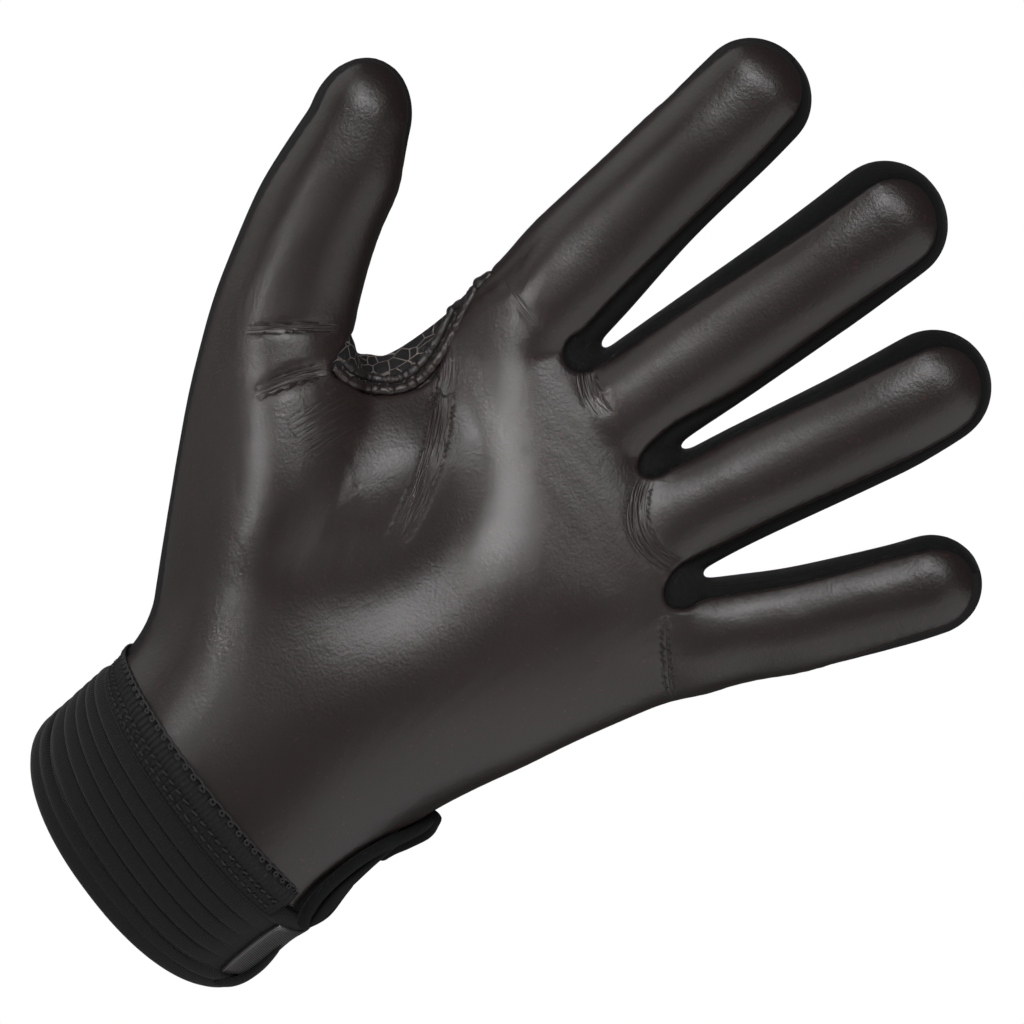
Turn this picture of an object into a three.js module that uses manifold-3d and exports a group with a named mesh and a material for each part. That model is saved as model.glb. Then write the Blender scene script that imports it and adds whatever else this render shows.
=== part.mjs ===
// A left-hand sport glove that keeps the shape of the hand inside it, in millimetres.
// +Z runs from the wrist to the fingertips, +X to the little finger, and the palm faces -Y.
// The origin is the centre of the cuff's opening, where a wrist goes in.
import * as THREE from "three";
import { mergeVertices } from "three/addons/utils/BufferGeometryUtils.js";
import Module from "manifold-3d";

// Driving dimensions
const WALL = 1.8; // knit and back fabric
const PALM_RISE = 0.9; // how far the thicker palm panel stands proud of the knit
const GAP = 0.3; // left between neighbouring pieces
const SIDES = 16; // round each section
const LINING_SIDES = 12; // round the hollow of a finger
const ROUND = 2.2; // how square the oval sections are: 2 is an ellipse
const BACK_SEAM = 4; // how far behind a section's middle the back panel starts
const FRONT_SEAM = -1.5; // how far a cut through the palm side alone reaches from the middle
const SLANT = 4; // the back faces of the cutters slant, so they move this many times the gap
const OPENING_SHIFT = -8.5; // brings the centre of the cuff's opening to the origin
const FAR = 60; // past every surface of the glove, for the cutters
const WRAP = 3; // how far a cutter passes the outline where the palm panel turns round an edge

// A section is an oval about (x, y, z). half is its half width, deep its half depth, lean the angle of
// its axis towards +X and pitch the angle that drops its palm side, both in degrees. left and right
// are the distances of the palm panel's seam from the two edges. A negative one goes round the edge.
const INDEX = [
  { x: -35.2, z: 122, lean: -6, half: 13.6, deep: 12.5, y: 0, left: -3, right: 4.6 },
  { x: -36.3, z: 135, lean: -6, half: 13.8, deep: 12.0, y: 0, left: -3, right: 4.4 },
  { x: -37.6, z: 145.5, lean: -6, half: 13.8, deep: 11.7, y: -0.4, left: -3, right: 4.2 },
  { x: -40.1, z: 166.5, lean: -5, half: 12.9, deep: 11.2, y: -1.3, left: -2, right: 2.9 },
  { x: -41.7, z: 187.5, lean: -5, half: 12.7, deep: 10.8, y: -2.4, left: 0.6, right: 2.7 },
  { x: -42.4, z: 196.4, lean: -3, half: 12.4, deep: 10.4, y: -3.0, left: 1.4, right: 2.9 },
];
const MIDDLE = [
  { x: -8.6, z: 126, lean: 2, half: 12.6, deep: 12.5, y: 0, left: 2.6, right: 4.4 },
  { x: -7.8, z: 140.3, lean: 3, half: 12.8, deep: 12.0, y: 0, left: 2.3, right: 4.0 },
  { x: -7.0, z: 156, lean: 4, half: 12.9, deep: 11.6, y: -0.5, left: 2.9, right: 2.1 },
  { x: -5.5, z: 177, lean: 3, half: 13.0, deep: 11.2, y: -1.5, left: 3.8, right: 2.5 },
  { x: -4.9, z: 187.5, lean: 3, half: 13.1, deep: 11.0, y: -2.1, left: 4.4, right: 2.5 },
  { x: -4.2, z: 201.6, lean: 2, half: 13.0, deep: 10.6, y: -3.0, left: 4.8, right: 2.3 },
];
const RING = [
  { x: 14.9, z: 123, lean: 12, half: 12.4, deep: 12.2, y: 0, left: 2.4, right: 3.4 },
  { x: 17.4, z: 135, lean: 12, half: 12.3, deep: 11.8, y: 0, left: 2.2, right: 2.5 },
  { x: 19.7, z: 145.5, lean: 12, half: 12.3, deep: 11.4, y: -0.4, left: 2.1, right: 2.4 },
  { x: 24.9, z: 166.5, lean: 12, half: 12.4, deep: 11.0, y: -1.3, left: 2.9, right: 2.1 },
  { x: 27.1, z: 177, lean: 11, half: 12.7, deep: 10.8, y: -1.8, left: 3.5, right: 2.0 },
  { x: 28.7, z: 186.7, lean: 8, half: 12.5, deep: 10.4, y: -2.5, left: 4.2, right: 1.7 },
];
const PINKY = [
  { x: 36.8, z: 113, lean: 27, half: 11.8, deep: 11.6, y: 0, left: 5.6, right: -3 },
  { x: 42.6, z: 124.5, lean: 27, half: 11.5, deep: 11.2, y: 0, left: 4.0, right: -2 },
  { x: 48.5, z: 135, lean: 28, half: 11.3, deep: 10.8, y: -0.4, left: 3.6, right: -0.6 },
  { x: 57.3, z: 153.3, lean: 25, half: 10.9, deep: 10.0, y: -1.4, left: 2.9, right: 1.1 },
  { x: 60.3, z: 160.4, lean: 23, half: 10.8, deep: 9.6, y: -2.0, left: 3.2, right: 1.1 },
];
const THUMB = [
  { x: -21.6, z: 41.8, lean: -35, half: 20.6, deep: 17.5, y: -2.5, left: 0.8, right: -3 },
  { x: -35.7, z: 59.2, lean: -39, half: 21.0, deep: 17.5, y: -4.0, left: 0.8, right: -3 },
  { x: -50.4, z: 75, lean: -40, half: 20.3, deep: 16.2, y: -5.0, left: 0.8, right: -3 },
  { x: -59.9, z: 83.4, lean: -38, half: 18.0, deep: 15.0, y: -5.5, left: 0.8, right: -3 },
  { x: -68.5, z: 90.9, lean: -33, half: 15.2, deep: 13.6, y: -6.0, left: 0.8, right: -3 },
  { x: -75.2, z: 100.2, lean: -30, half: 14.4, deep: 12.8, y: -6.6, left: 0.9, right: -3 },
  { x: -81.3, z: 110.3, lean: -29, half: 13.7, deep: 12.2, y: -7.2, left: 1.2, right: -2 },
  { x: -85.9, z: 120.3, lean: -28, half: 12.7, deep: 11.4, y: -8.0, left: 1.5, right: -1 },
  { x: -90.1, z: 128.7, lean: -24, half: 11.2, deep: 10.2, y: -8.8, left: 1.5, right: 0.4 },
];
const PALM = [
  { x: 0.0, z: 18.1, lean: 0, half: 34.6, deep: 22.6, y: 1.1, pitch: 12 },
  { x: -2.3, z: 28.4, lean: 0, half: 34.8, deep: 21.4, y: 0.3, pitch: 7 },
  { x: -6.8, z: 38.9, lean: 0, half: 37.8, deep: 20.4, y: 0, pitch: 3 },
  { x: -10.3, z: 49.4, lean: 0, half: 42.0, deep: 19.6, y: 0, pitch: 0 },
  { x: -12.0, z: 59.9, lean: 0, half: 45.8, deep: 18.8, y: 0, pitch: 0 },
  { x: -11.5, z: 70.4, lean: 0, half: 48.0, deep: 18.2, y: 0, pitch: 0 },
  { x: -9.8, z: 80.9, lean: 0, half: 48.7, deep: 17.6, y: 0, pitch: 0 },
  { x: -5.7, z: 91.4, lean: 0, half: 47.4, deep: 17.0, y: 0, pitch: 0 },
  { x: -1.9, z: 101.9, lean: 0, half: 46.8, deep: 16.4, y: 0, pitch: 0 },
  { x: 0.9, z: 112.4, lean: 2, half: 48.4, deep: 15.6, y: 0, pitch: 0 },
  { x: 1.6, z: 121.5, lean: 5, half: 49.6, deep: 14.0, y: 0, pitch: 0 },
  { x: 1.0, z: 127.0, lean: 9, half: 48.0, deep: 11.0, y: 0, pitch: 0 },
  { x: 0.0, z: 130.0, lean: 11, half: 44.0, deep: 6.5, y: 0, pitch: 0 },
];
const WRIST = [
  { x: 0, z: -6, half: 35.0, deep: 26.0, y: 12.2, pitch: 33 },
  { x: 0, z: 0, half: 34.4, deep: 25.0, y: 8.5, pitch: 32 },
  { x: -0.2, z: 6, half: 34.0, deep: 24.0, y: 5.2, pitch: 26 },
  { x: -0.4, z: 12, half: 33.8, deep: 23.0, y: 2.7, pitch: 19 },
];
const SLEEVE = [...WRIST, ...PALM];
const MOUTH = { y: 4, z: 6 }; // where the hollow of the hand reaches out below the palm
const HEEL = { x: -34, z: 22 }; // where the seam of the thumb side meets the wrist

// The fingers from thumb side to little-finger side, with the length of each rounded end and how far
// the palm panel's seam stays below the tip
const FINGERS = [
  { rows: INDEX, cap: 11.5, top: 1.4 },
  { rows: MIDDLE, cap: 12.2, top: 2.9 },
  { rows: RING, cap: 12.4, top: 2.6 },
  { rows: PINKY, cap: 10.9, top: 1.9 },
];
const THUMB_CAP = 13.8;
const THUMB_TOP = 0.7;
const CAP_STEPS = [0.45, 0.78, 0.96];
const CAP_SEAM_TURNS = [0.33, 0.67, 1, 1.33, 1.67]; // in quarter turns over the end

// The floor of each gap between two fingers, and the low point of the seam below it
const CROTCHES = [
  { x: -21.8, top: 138.8, half: 9, high: 10, deep: 10.5, seam: { x: -22.7, z: 130.2 } },
  { x: 5.4, top: 138.0, half: 9, high: 10, deep: 10.5, seam: { x: 3.8, z: 127.9 } },
  { x: 29.0, top: 123.8, half: 9, high: 9, deep: 10.5, seam: { x: 27.9, z: 115.1 } },
];

const CROTCH_SEAM = { half: 2.4, high: 1 }; // the round of the seam at its low points
const SIDEWALL_FOOT = 4; // how far a sidewall's cutter reaches below that

// Mounds and hollows of the palm: lift is towards the palm side
const RELIEF = [
  { x: -40, z: 75, wide: 20, high: 24, lift: 3.2 },
  { x: 18, z: 62, wide: 20, high: 30, lift: 2.6 },
  { x: 2, z: 112, wide: 40, high: 12, lift: 1.8 },
  { x: -14, z: 84, wide: 13, high: 24, lift: -2.6 },
  { x: -36, z: 110, wide: 12, high: 10, lift: -1.6 },
];

// The seam round the thumb web, from the thumb to the index finger, and its rolled edge
const WEB_SEAM = [
  { x: -53.0, z: 91.2 },
  { x: -48.6, z: 92.2 },
  { x: -43.3, z: 95.2 },
  { x: -39.4, z: 101.9 },
  { x: -38.8, z: 106.2 },
  { x: -40.6, z: 110.5 },
  { x: -44.2, z: 116.6 },
  { x: -46.6, z: 122.9 },
  { x: -48.8, z: 130.0 },
];
const ROLL_WIDE = 1.7;
const ROLL_STEPS = 16;
const ROLL_SIDES = 6;
const WEB_STEPS = 10; // of the cut along the web seam
const ROLL_PITCH = 2.1; // between the two rolls
const ROLL_LIFT = 0.45; // clears the panels between the places where the roll is measured
const WEB_TOP = 100; // below here the thumb is joined to the palm
const WEB_BACK = -6; // how far back the cut along the web reaches

// The cuff
const TAPE = { from: 21.3, to: 15.6, thick: 1.1, start: 88, turn: 322 };
const CUFF = { from: 17.8, to: -1.6, ribs: 6, rib: 0.7, ribFrom: 15.2, ribTo: 3.6, stepsPerRib: 3 };
const BINDING = { from: 3.2, lip: 1.3, thick: 1.4, groove: 0.45, lining: 0.6 };
const PAST = 1; // how far a hollow reaches past the ends of what it cuts

// The slit's edge of the palm panel, up the wrist
const VENT_EDGE = [
  { x: 27.8, z: 0 },
  { x: 27.9, z: 24 },
  { x: 29.2, z: 37 },
  { x: 31.0, z: 43 },
  { x: 33.6, z: 47.5 },
  { x: 38.0, z: 50 },
];

// The slit's binding, in degrees round the wrist from the middle of the palm, and its height
const VENT = { top: 47, bottom: 12.5, topAngle: 80, bottomAngle: 62, turn: 1.7, wide: 2.6, steps: 30 };
const VENT_LIFT = 0.2;
const STRAP = { from: 66, to: 222, z: 8.6, high: 9.8, thick: 1.3, clear: 1.0 };
const WEDGE_STEPS = 16; // of the arc of a cutter that takes a stretch of the wrist

const MATERIALS = {
  palm: { color: 0x2f2929, roughness: 0.38, metalness: 0 },
  knit: { color: 0x151617, roughness: 0.9, metalness: 0 },
  net: { color: 0x232425, roughness: 0.8, metalness: 0 },
  tape: { color: 0x191919, roughness: 0.85, metalness: 0 },
  elastic: { color: 0x131414, roughness: 0.9, metalness: 0 },
  satin: { color: 0x1c1b1d, roughness: 0.3, metalness: 0 },
};

const wasm = await Module();
wasm.setup();

function asSolid(geometry) {
  const bare = geometry.clone();
  bare.deleteAttribute("normal");
  bare.deleteAttribute("uv");
  const merged = mergeVertices(bare, 1e-4);
  return new wasm.Manifold(
    new wasm.Mesh({
      numProp: 3,
      vertProperties: new Float32Array(merged.attributes.position.array),
      triVerts: new Uint32Array(merged.index.array),
    }),
  );
}

function asGeometry(solid) {
  const mesh = solid.getMesh();
  const geometry = new THREE.BufferGeometry();
  geometry.setAttribute("position", new THREE.BufferAttribute(mesh.vertProperties, 3));
  geometry.setIndex(new THREE.BufferAttribute(mesh.triVerts, 1));
  const flat = geometry.toNonIndexed();
  flat.computeVertexNormals();
  return flat;
}

const radians = THREE.MathUtils.degToRad;
const signedPower = (value, power) => Math.sign(value) * Math.abs(value) ** power;

// The height that the palm's mounds and hollows add at (x, z)
function relief(x, z) {
  return RELIEF.reduce(
    (sum, m) => sum + m.lift * Math.exp(-(((x - m.x) / m.wide) ** 2) - ((z - m.z) / m.high) ** 2),
    0,
  );
}

// A point of a section at an angle from the middle of the palm side round towards +X. grow moves the
// surface outwards at the sides and at the palm and back.
function sectionPoint(row, angle, grow) {
  const shrink = row.shrink ?? 1;
  const across = (row.half + grow.side) * shrink * signedPower(Math.sin(angle), 2 / ROUND);
  const forward = (row.deep + grow.deep) * shrink * signedPower(Math.cos(angle), 2 / ROUND);
  const point = new THREE.Vector3(across, -forward, 0);
  point.applyAxisAngle(new THREE.Vector3(1, 0, 0), radians(row.pitch ?? 0));
  point.applyAxisAngle(new THREE.Vector3(0, 1, 0), radians(row.lean ?? 0));
  point.add(new THREE.Vector3(row.x, row.y, row.z));
  point.y -= relief(point.x, point.z) * Math.max(0, Math.cos(angle)) ** 0.5;
  return point;
}

// A closed solid through the sections, from a cylinder whose rings are moved onto them
function loft(rows, grow, sides = SIDES) {
  const last = rows.length - 1;
  const geometry = new THREE.CylinderGeometry(1, 1, last, sides, last);
  const position = geometry.attributes.position;
  for (let i = 0; i < position.count; i++) {
    const [x, y, z] = [position.getX(i), position.getY(i), position.getZ(i)];
    const row = rows[Math.round(y + last / 2)];
    const centre = Math.hypot(x, z) < 0.5; // of a flat end
    const place = centre
      ? new THREE.Vector3(row.x, row.y, row.z)
      : sectionPoint(row, Math.atan2(x, z), grow);
    position.setXYZ(i, place.x, place.y, place.z);
  }
  return geometry;
}

// The sections of a finger with its rounded end
function withCap(rows, cap, grow) {
  const end = rows[rows.length - 1];
  const length = cap + grow.side;
  const along = new THREE.Vector2(Math.sin(radians(end.lean)), Math.cos(radians(end.lean)));
  const capRows = CAP_STEPS.map((step) => ({
    ...end,
    x: end.x + along.x * length * step,
    z: end.z + along.y * length * step,
    shrink: Math.sqrt(1 - step * step),
  }));
  return [...rows, ...capRows];
}

function unite(solids) {
  return solids.reduce((sum, solid) => sum.add(solid));
}

// The whole hand as one closed solid. A hollow reaches out through the wrist.
function handSolid(grow, hollow) {
  const palmRows = hollow ? [{ ...PALM[0], ...MOUTH }, ...PALM] : PALM;
  const sides = hollow ? LINING_SIDES : SIDES;
  const parts = [asSolid(loft(palmRows, grow))];
  parts.push(asSolid(loft(withCap(THUMB, THUMB_CAP, grow), grow, sides)));
  FINGERS.forEach((finger) => {
    parts.push(asSolid(loft(withCap(finger.rows, finger.cap, grow), grow, sides)));
  });
  CROTCHES.forEach((floor) => {
    const ball = new THREE.SphereGeometry(1, SIDES / 2, SIDES / 3);
    ball.scale(floor.half + grow.side, floor.deep + grow.deep, floor.high + grow.side);
    ball.translate(floor.x, 0, floor.top - floor.high);
    parts.push(asSolid(ball));
  });
  return unite(parts);
}

// A cutter with a flat outline in x and z, anticlockwise, from each point's own back towards the palm
// side. Its sides and its back face are then moved outwards by a distance.
function prism(outline, distance) {
  const points = outline.map((p) => new THREE.Vector2(p.x, p.z));
  const shape = new THREE.Shape(points);
  const geometry = new THREE.ExtrudeGeometry(shape, { depth: FAR, bevelEnabled: false });
  const key = (x, z) => Math.fround(x) + " " + Math.fround(z);
  const count = outline.length;
  const moved = new Map();
  outline.forEach((p, i) => {
    const before = outline[(i + count - 1) % count];
    const after = outline[(i + 1) % count];
    const along = new THREE.Vector2(after.x - before.x, after.z - before.z).normalize();
    const place = { x: p.x + along.y * distance, z: p.z - along.x * distance };
    moved.set(key(p.x, p.z), { ...place, back: p.back + SLANT * distance });
  });
  const position = geometry.attributes.position;
  for (let i = 0; i < position.count; i++) {
    const place = moved.get(key(position.getX(i), position.getY(i)));
    position.setXYZ(i, place.x, position.getZ(i) > FAR / 2 ? -FAR : place.back, place.z);
  }
  return asSolid(geometry);
}

// A point of a section's seam: side is -1 for the left edge and 1 for the right one
function seamPoint(row, side) {
  const inset = side < 0 ? row.left : row.right;
  const reach = side * (row.half - inset);
  const lean = radians(row.lean);
  const share = THREE.MathUtils.clamp((inset + WRAP) / (WRAP + 1), 0, 1);
  const back = row.y + THREE.MathUtils.lerp(BACK_SEAM, FRONT_SEAM, share);
  return { x: row.x + reach * Math.cos(lean), z: row.z - reach * Math.sin(lean), back };
}

// The seam over a rounded end, from the right edge to the left one
function capSeam(end, cap) {
  const lean = radians(end.lean);
  return CAP_SEAM_TURNS.map((turn) => {
    const angle = (turn * Math.PI) / 2;
    const across = Math.cos(angle) * (end.half - (turn < 1 ? end.right : end.left));
    const along = Math.sin(angle) * cap;
    return {
      x: end.x + across * Math.cos(lean) + along * Math.sin(lean),
      z: end.z - across * Math.sin(lean) + along * Math.cos(lean),
      back: end.y + FRONT_SEAM,
    };
  });
}

// Points along the web seam. shift moves them sideways, away from the palm.
function webSeam(steps, shift) {
  const path = new THREE.SplineCurve(WEB_SEAM.map((p) => new THREE.Vector2(p.x, p.z)));
  return path.getSpacedPoints(steps).map((point, i) => {
    const along = path.getTangentAt(i / steps);
    return { x: point.x - along.y * shift, z: point.y + along.x * shift, back: WEB_BACK };
  });
}

// The palm panel's outline, anticlockwise as seen on the palm: up the little-finger edge, over the
// four fingers, along the web, round the thumb and down to the wrist
function palmOutline() {
  const outline = VENT_EDGE.map((point) => ({ ...point, back: BACK_SEAM }));
  PALM.filter((row) => row.z > VENT_EDGE.at(-1).z && row.z < PINKY[0].z).forEach((row) => {
    outline.push({ x: row.x + row.half + WRAP, z: row.z, back: BACK_SEAM });
  });
  [...FINGERS].reverse().forEach((finger, i) => {
    const rows = finger.rows;
    const end = rows[rows.length - 1];
    outline.push(...rows.slice(1).map((row) => seamPoint(row, 1)));
    outline.push(...capSeam(end, finger.cap - finger.top));
    outline.push(...rows.slice(1).reverse().map((row) => seamPoint(row, -1)));
    const floor = CROTCHES[CROTCHES.length - 1 - i];
    if (floor) {
      const { x, z } = floor.seam;
      const back = FRONT_SEAM;
      const shoulder = { z: z + CROTCH_SEAM.high, back };
      outline.push({ x: x + CROTCH_SEAM.half, ...shoulder });
      outline.push({ x, z, back });
      outline.push({ x: x - CROTCH_SEAM.half, ...shoulder });
    }
  });
  outline.push(...webSeam(WEB_STEPS, 0).reverse());
  const end = THUMB[THUMB.length - 1];
  outline.push(...THUMB.filter((row) => row.z > WEB_TOP).map((row) => seamPoint(row, 1)));
  outline.push(...capSeam(end, THUMB_CAP - THUMB_TOP));
  outline.push(...[...THUMB].reverse().map((row) => seamPoint(row, -1)));
  outline.push({ ...HEEL, back: FRONT_SEAM }, { ...HEEL, z: 0, back: FRONT_SEAM });
  return outline;
}

// The outline of a sidewall's part: from the middle of one finger to the middle of the next
function sidewallOutline(a, b, floor) {
  const axis = (finger) =>
    finger.rows.map((row) => ({ x: row.x, z: row.z, back: row.y + BACK_SEAM }));
  const beyond = (finger) => {
    const end = finger.rows[finger.rows.length - 1];
    const lean = radians(end.lean);
    const back = end.y + BACK_SEAM;
    return { x: end.x + FAR * Math.sin(lean), z: end.z + FAR * Math.cos(lean), back };
  };
  const low = { x: floor.seam.x, z: floor.seam.z - SIDEWALL_FOOT, back: BACK_SEAM };
  return [low, ...axis(b), beyond(b), beyond(a), ...axis(a).reverse()];
}

// The sleeve's section at a height, between its two nearest rows
function sleeveAt(z) {
  const above = Math.max(1, SLEEVE.findIndex((row) => row.z >= z));
  const [low, high] = [SLEEVE[above - 1], SLEEVE[above]];
  const share = (z - low.z) / (high.z - low.z);
  const mix = (key) => THREE.MathUtils.lerp(low[key], high[key], share);
  return { x: mix("x"), y: mix("y"), z, half: mix("half"), deep: mix("deep"), pitch: mix("pitch") };
}

// A length of the wrist's tube from one height to the other. rise gives the extra radius at a height.
function wristSolid(from, to, steps, rise) {
  const rows = [];
  for (let i = 0; i <= steps; i++) {
    const z = THREE.MathUtils.lerp(to, from, i / steps);
    const row = sleeveAt(z);
    rows.push({ ...row, half: row.half + rise(z), deep: row.deep + rise(z) });
  }
  return asSolid(loft(rows, { side: 0, deep: 0 }));
}

function cuffBand() {
  const steps = CUFF.ribs * CUFF.stepsPerRib;
  const plain = () => 0;
  const pitch = (CUFF.ribFrom - CUFF.ribTo) / CUFF.ribs;
  const ribbed = (z) => CUFF.rib * Math.abs(Math.sin((Math.PI * (CUFF.ribFrom - z)) / pitch));
  const top = wristSolid(CUFF.from, CUFF.ribFrom, 1, plain);
  const ribs = wristSolid(CUFF.ribFrom, CUFF.ribTo, steps, ribbed);
  const foot = wristSolid(CUFF.ribTo, CUFF.to, 2, plain);
  const hollow = wristSolid(CUFF.from + 2 * PAST, CUFF.to - 2 * PAST, 5, () => -WALL);
  return unite([top, ribs, foot]).subtract(hollow);
}

function cuffBinding() {
  const end = CUFF.to - BINDING.lip;
  const outside = wristSolid(BINDING.from, end, 4, (z) => {
    const share = (z - end) / (BINDING.from - end);
    const swell = Math.abs(Math.cos(1.5 * Math.PI * share));
    return GAP + BINDING.thick * THREE.MathUtils.lerp(1, swell, BINDING.groove);
  });
  const lining = BINDING.thick * BINDING.lining;
  const hollow = wristSolid(BINDING.from + PAST, end - PAST, 3, () => -WALL - GAP - lining);
  const slot = wristSolid(BINDING.from + PAST, CUFF.to - GAP, 3, () => GAP);
  const slotCore = wristSolid(BINDING.from + 2 * PAST, end - PAST, 3, () => -WALL - GAP);
  return outside.subtract(hollow).subtract(slot.subtract(slotCore));
}

// The tape runs round the wrist from one side of the slit to the other
function wristTape() {
  const outside = wristSolid(TAPE.from, TAPE.to, 4, () => PALM_RISE + GAP + TAPE.thick);
  const inside = wristSolid(TAPE.from + PAST, TAPE.to - PAST, 4, () => PALM_RISE + GAP);
  return outside.subtract(inside).intersect(wedge(TAPE.start, TAPE.start + TAPE.turn));
}

// A cutter for a stretch of the wrist between two angles from the middle of the palm side
function wedge(from, to) {
  const shape = new THREE.Shape([new THREE.Vector2(0, 0)]);
  for (let i = 0; i <= WEDGE_STEPS; i++) {
    const angle = radians(THREE.MathUtils.lerp(from, to, i / WEDGE_STEPS));
    shape.lineTo(FAR * Math.sin(angle), -FAR * Math.cos(angle));
  }
  const geometry = new THREE.ExtrudeGeometry(shape, { depth: 2 * FAR, bevelEnabled: false });
  geometry.translate(0, 0, -FAR);
  return asSolid(geometry);
}

// A rolled edge of round section along a curve
function roll(curve, width, steps) {
  const corners = [];
  for (let k = 0; k < ROLL_SIDES; k++) {
    const angle = (2 * Math.PI * k) / ROLL_SIDES;
    corners.push(new THREE.Vector2(Math.cos(angle), Math.sin(angle)).multiplyScalar(width / 2));
  }
  const shape = new THREE.Shape(corners);
  return new THREE.ExtrudeGeometry(shape, { steps, extrudePath: curve, bevelEnabled: false });
}

// A roll of the web seam, on the most forward of the surfaces under its width
function webRoll(hand, shift, extra) {
  const ray = new THREE.Raycaster();
  const tracks = [-ROLL_WIDE / 2, 0, ROLL_WIDE / 2].map((side) => webSeam(ROLL_STEPS, shift + side));
  const points = [];
  for (let i = 0; i <= ROLL_STEPS; i++) {
    const heights = tracks.map((track) => {
      ray.set(new THREE.Vector3(track[i].x, -FAR, track[i].z), new THREE.Vector3(0, 1, 0));
      const [hit] = ray.intersectObject(hand);
      return hit ? hit.point.y : FAR;
    });
    const { x, z } = tracks[1][i];
    const front = Math.min(...heights);
    if (front < FAR) {
      points.push(new THREE.Vector3(x, front - ROLL_WIDE / 2 - ROLL_LIFT, z));
    }
  }
  return roll(new THREE.CatmullRomCurve3(points), ROLL_WIDE + extra, ROLL_STEPS);
}

// The binding round the slit: a long narrow loop on the little-finger side of the wrist
function ventBinding(extra) {
  const lift = PALM_RISE + GAP + VENT.wide / 2 + VENT_LIFT;
  const loop = new THREE.Path();
  loop.absarc(0, VENT.top - VENT.turn, VENT.turn, 0, Math.PI);
  loop.absarc(0, VENT.bottom + VENT.turn, VENT.turn, Math.PI, 2 * Math.PI);
  loop.closePath();
  const points = loop.getSpacedPoints(VENT.steps).slice(1).map((place) => {
    const row = sleeveAt(place.y);
    const share = (place.y - VENT.bottom) / (VENT.top - VENT.bottom);
    const middle = radians(THREE.MathUtils.lerp(VENT.bottomAngle, VENT.topAngle, share));
    return sectionPoint(row, middle + place.x / row.half, { side: lift, deep: lift });
  });
  return roll(new THREE.CatmullRomCurve3(points, true), VENT.wide + extra, VENT.steps);
}

// The strap: a flat band round the back of the cuff
function wristStrap() {
  const inner = STRAP.clear + GAP;
  const high = STRAP.z + STRAP.high / 2;
  const low = STRAP.z - STRAP.high / 2;
  const outside = wristSolid(high, low, 4, () => inner + STRAP.thick);
  const inside = wristSolid(high + PAST, low - PAST, 4, () => inner);
  const band = outside.subtract(inside).intersect(wedge(STRAP.from, STRAP.to));
  return band.subtract(asSolid(ventBinding(2 * GAP)));
}

const glove = new THREE.Group();
glove.position.y = OPENING_SHIFT;

function addPiece(name, geometry, material) {
  const mesh = new THREE.Mesh(geometry, new THREE.MeshStandardMaterial(MATERIALS[material]));
  mesh.name = name;
  glove.add(mesh);
}

const hand = handSolid({ side: 0, deep: 0 }, false);
const hollow = handSolid({ side: -WALL, deep: -WALL }, true);
const shell = hand.subtract(hollow);
const palmShell = handSolid({ side: 0, deep: PALM_RISE }, false).subtract(hollow);
const palm = palmOutline();
const panel = palmShell.intersect(prism(palm, -GAP / 2));
const palmCutter = prism(palm, GAP / 2);

let back = shell.subtract(palmCutter);
["index_middle", "middle_ring", "ring_pinky"].forEach((name, i) => {
  const outline = sidewallOutline(FINGERS[i], FINGERS[i + 1], CROTCHES[i]);
  const part = prism(outline, -GAP / 2);
  addPiece("sidewall_" + name, asGeometry(shell.intersect(part).subtract(palmCutter)), "knit");
  back = back.subtract(prism(outline, GAP / 2));
});

const skin = new THREE.Mesh(asGeometry(hand.add(palmShell)), new THREE.MeshStandardMaterial());
addPiece("web_seam_outer", webRoll(skin, 0, 0), "palm");
addPiece("web_seam_inner", webRoll(skin, ROLL_PITCH, 0), "knit");
const bed = unite([0, ROLL_PITCH].map((shift) => asSolid(webRoll(skin, shift, 2 * GAP))));
addPiece("palm_panel", asGeometry(panel.subtract(bed)), "palm");
addPiece("back_panel", asGeometry(back.subtract(bed)), "net");
addPiece("wrist_tape", asGeometry(wristTape()), "tape");
addPiece("cuff_band", asGeometry(cuffBand()), "elastic");
addPiece("cuff_binding", asGeometry(cuffBinding()), "elastic");
addPiece("vent_binding", ventBinding(0), "knit");
addPiece("wrist_strap", asGeometry(wristStrap()), "satin");

export default glove;
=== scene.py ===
"""A left-hand sport glove in the shape of a worn hand: coated palm, knit finger sides, ribbed cuff.

Lengths are in millimetres until a piece is finished, then in metres. +Z runs from the wrist to the
fingertips, +X to the little finger, and the palm faces -Y.
"""
import math

import bmesh
import bpy
import numpy as np
from mathutils import Matrix, Vector, kdtree
from mathutils.bvhtree import BVHTree


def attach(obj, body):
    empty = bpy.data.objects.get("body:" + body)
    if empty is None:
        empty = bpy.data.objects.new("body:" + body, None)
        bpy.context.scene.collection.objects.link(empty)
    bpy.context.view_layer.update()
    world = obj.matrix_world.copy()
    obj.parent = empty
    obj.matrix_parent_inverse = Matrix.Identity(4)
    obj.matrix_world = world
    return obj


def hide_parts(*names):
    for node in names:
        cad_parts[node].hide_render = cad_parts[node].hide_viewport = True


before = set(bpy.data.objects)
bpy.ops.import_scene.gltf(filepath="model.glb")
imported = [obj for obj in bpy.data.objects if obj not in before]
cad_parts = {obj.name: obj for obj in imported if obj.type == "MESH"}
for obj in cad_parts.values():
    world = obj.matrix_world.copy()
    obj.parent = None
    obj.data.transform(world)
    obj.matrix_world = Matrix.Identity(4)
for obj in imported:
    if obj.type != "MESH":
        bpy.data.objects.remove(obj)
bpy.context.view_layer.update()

MM = 0.001
OPENING_SHIFT = -8.5  # brings the centre of the cuff's opening to the origin

# ---- camera ----
IMAGE_SIZE = 1024
MM_PER_PIXEL = 0.21
CAMERA_TARGET = (-6.5, -8.5, 101.85)
CAMERA_DISTANCE = 1500.0
CAMERA_ROLL = 51.0  # degrees that the hand leans in the picture, clockwise
SENSOR = 36.0


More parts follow.
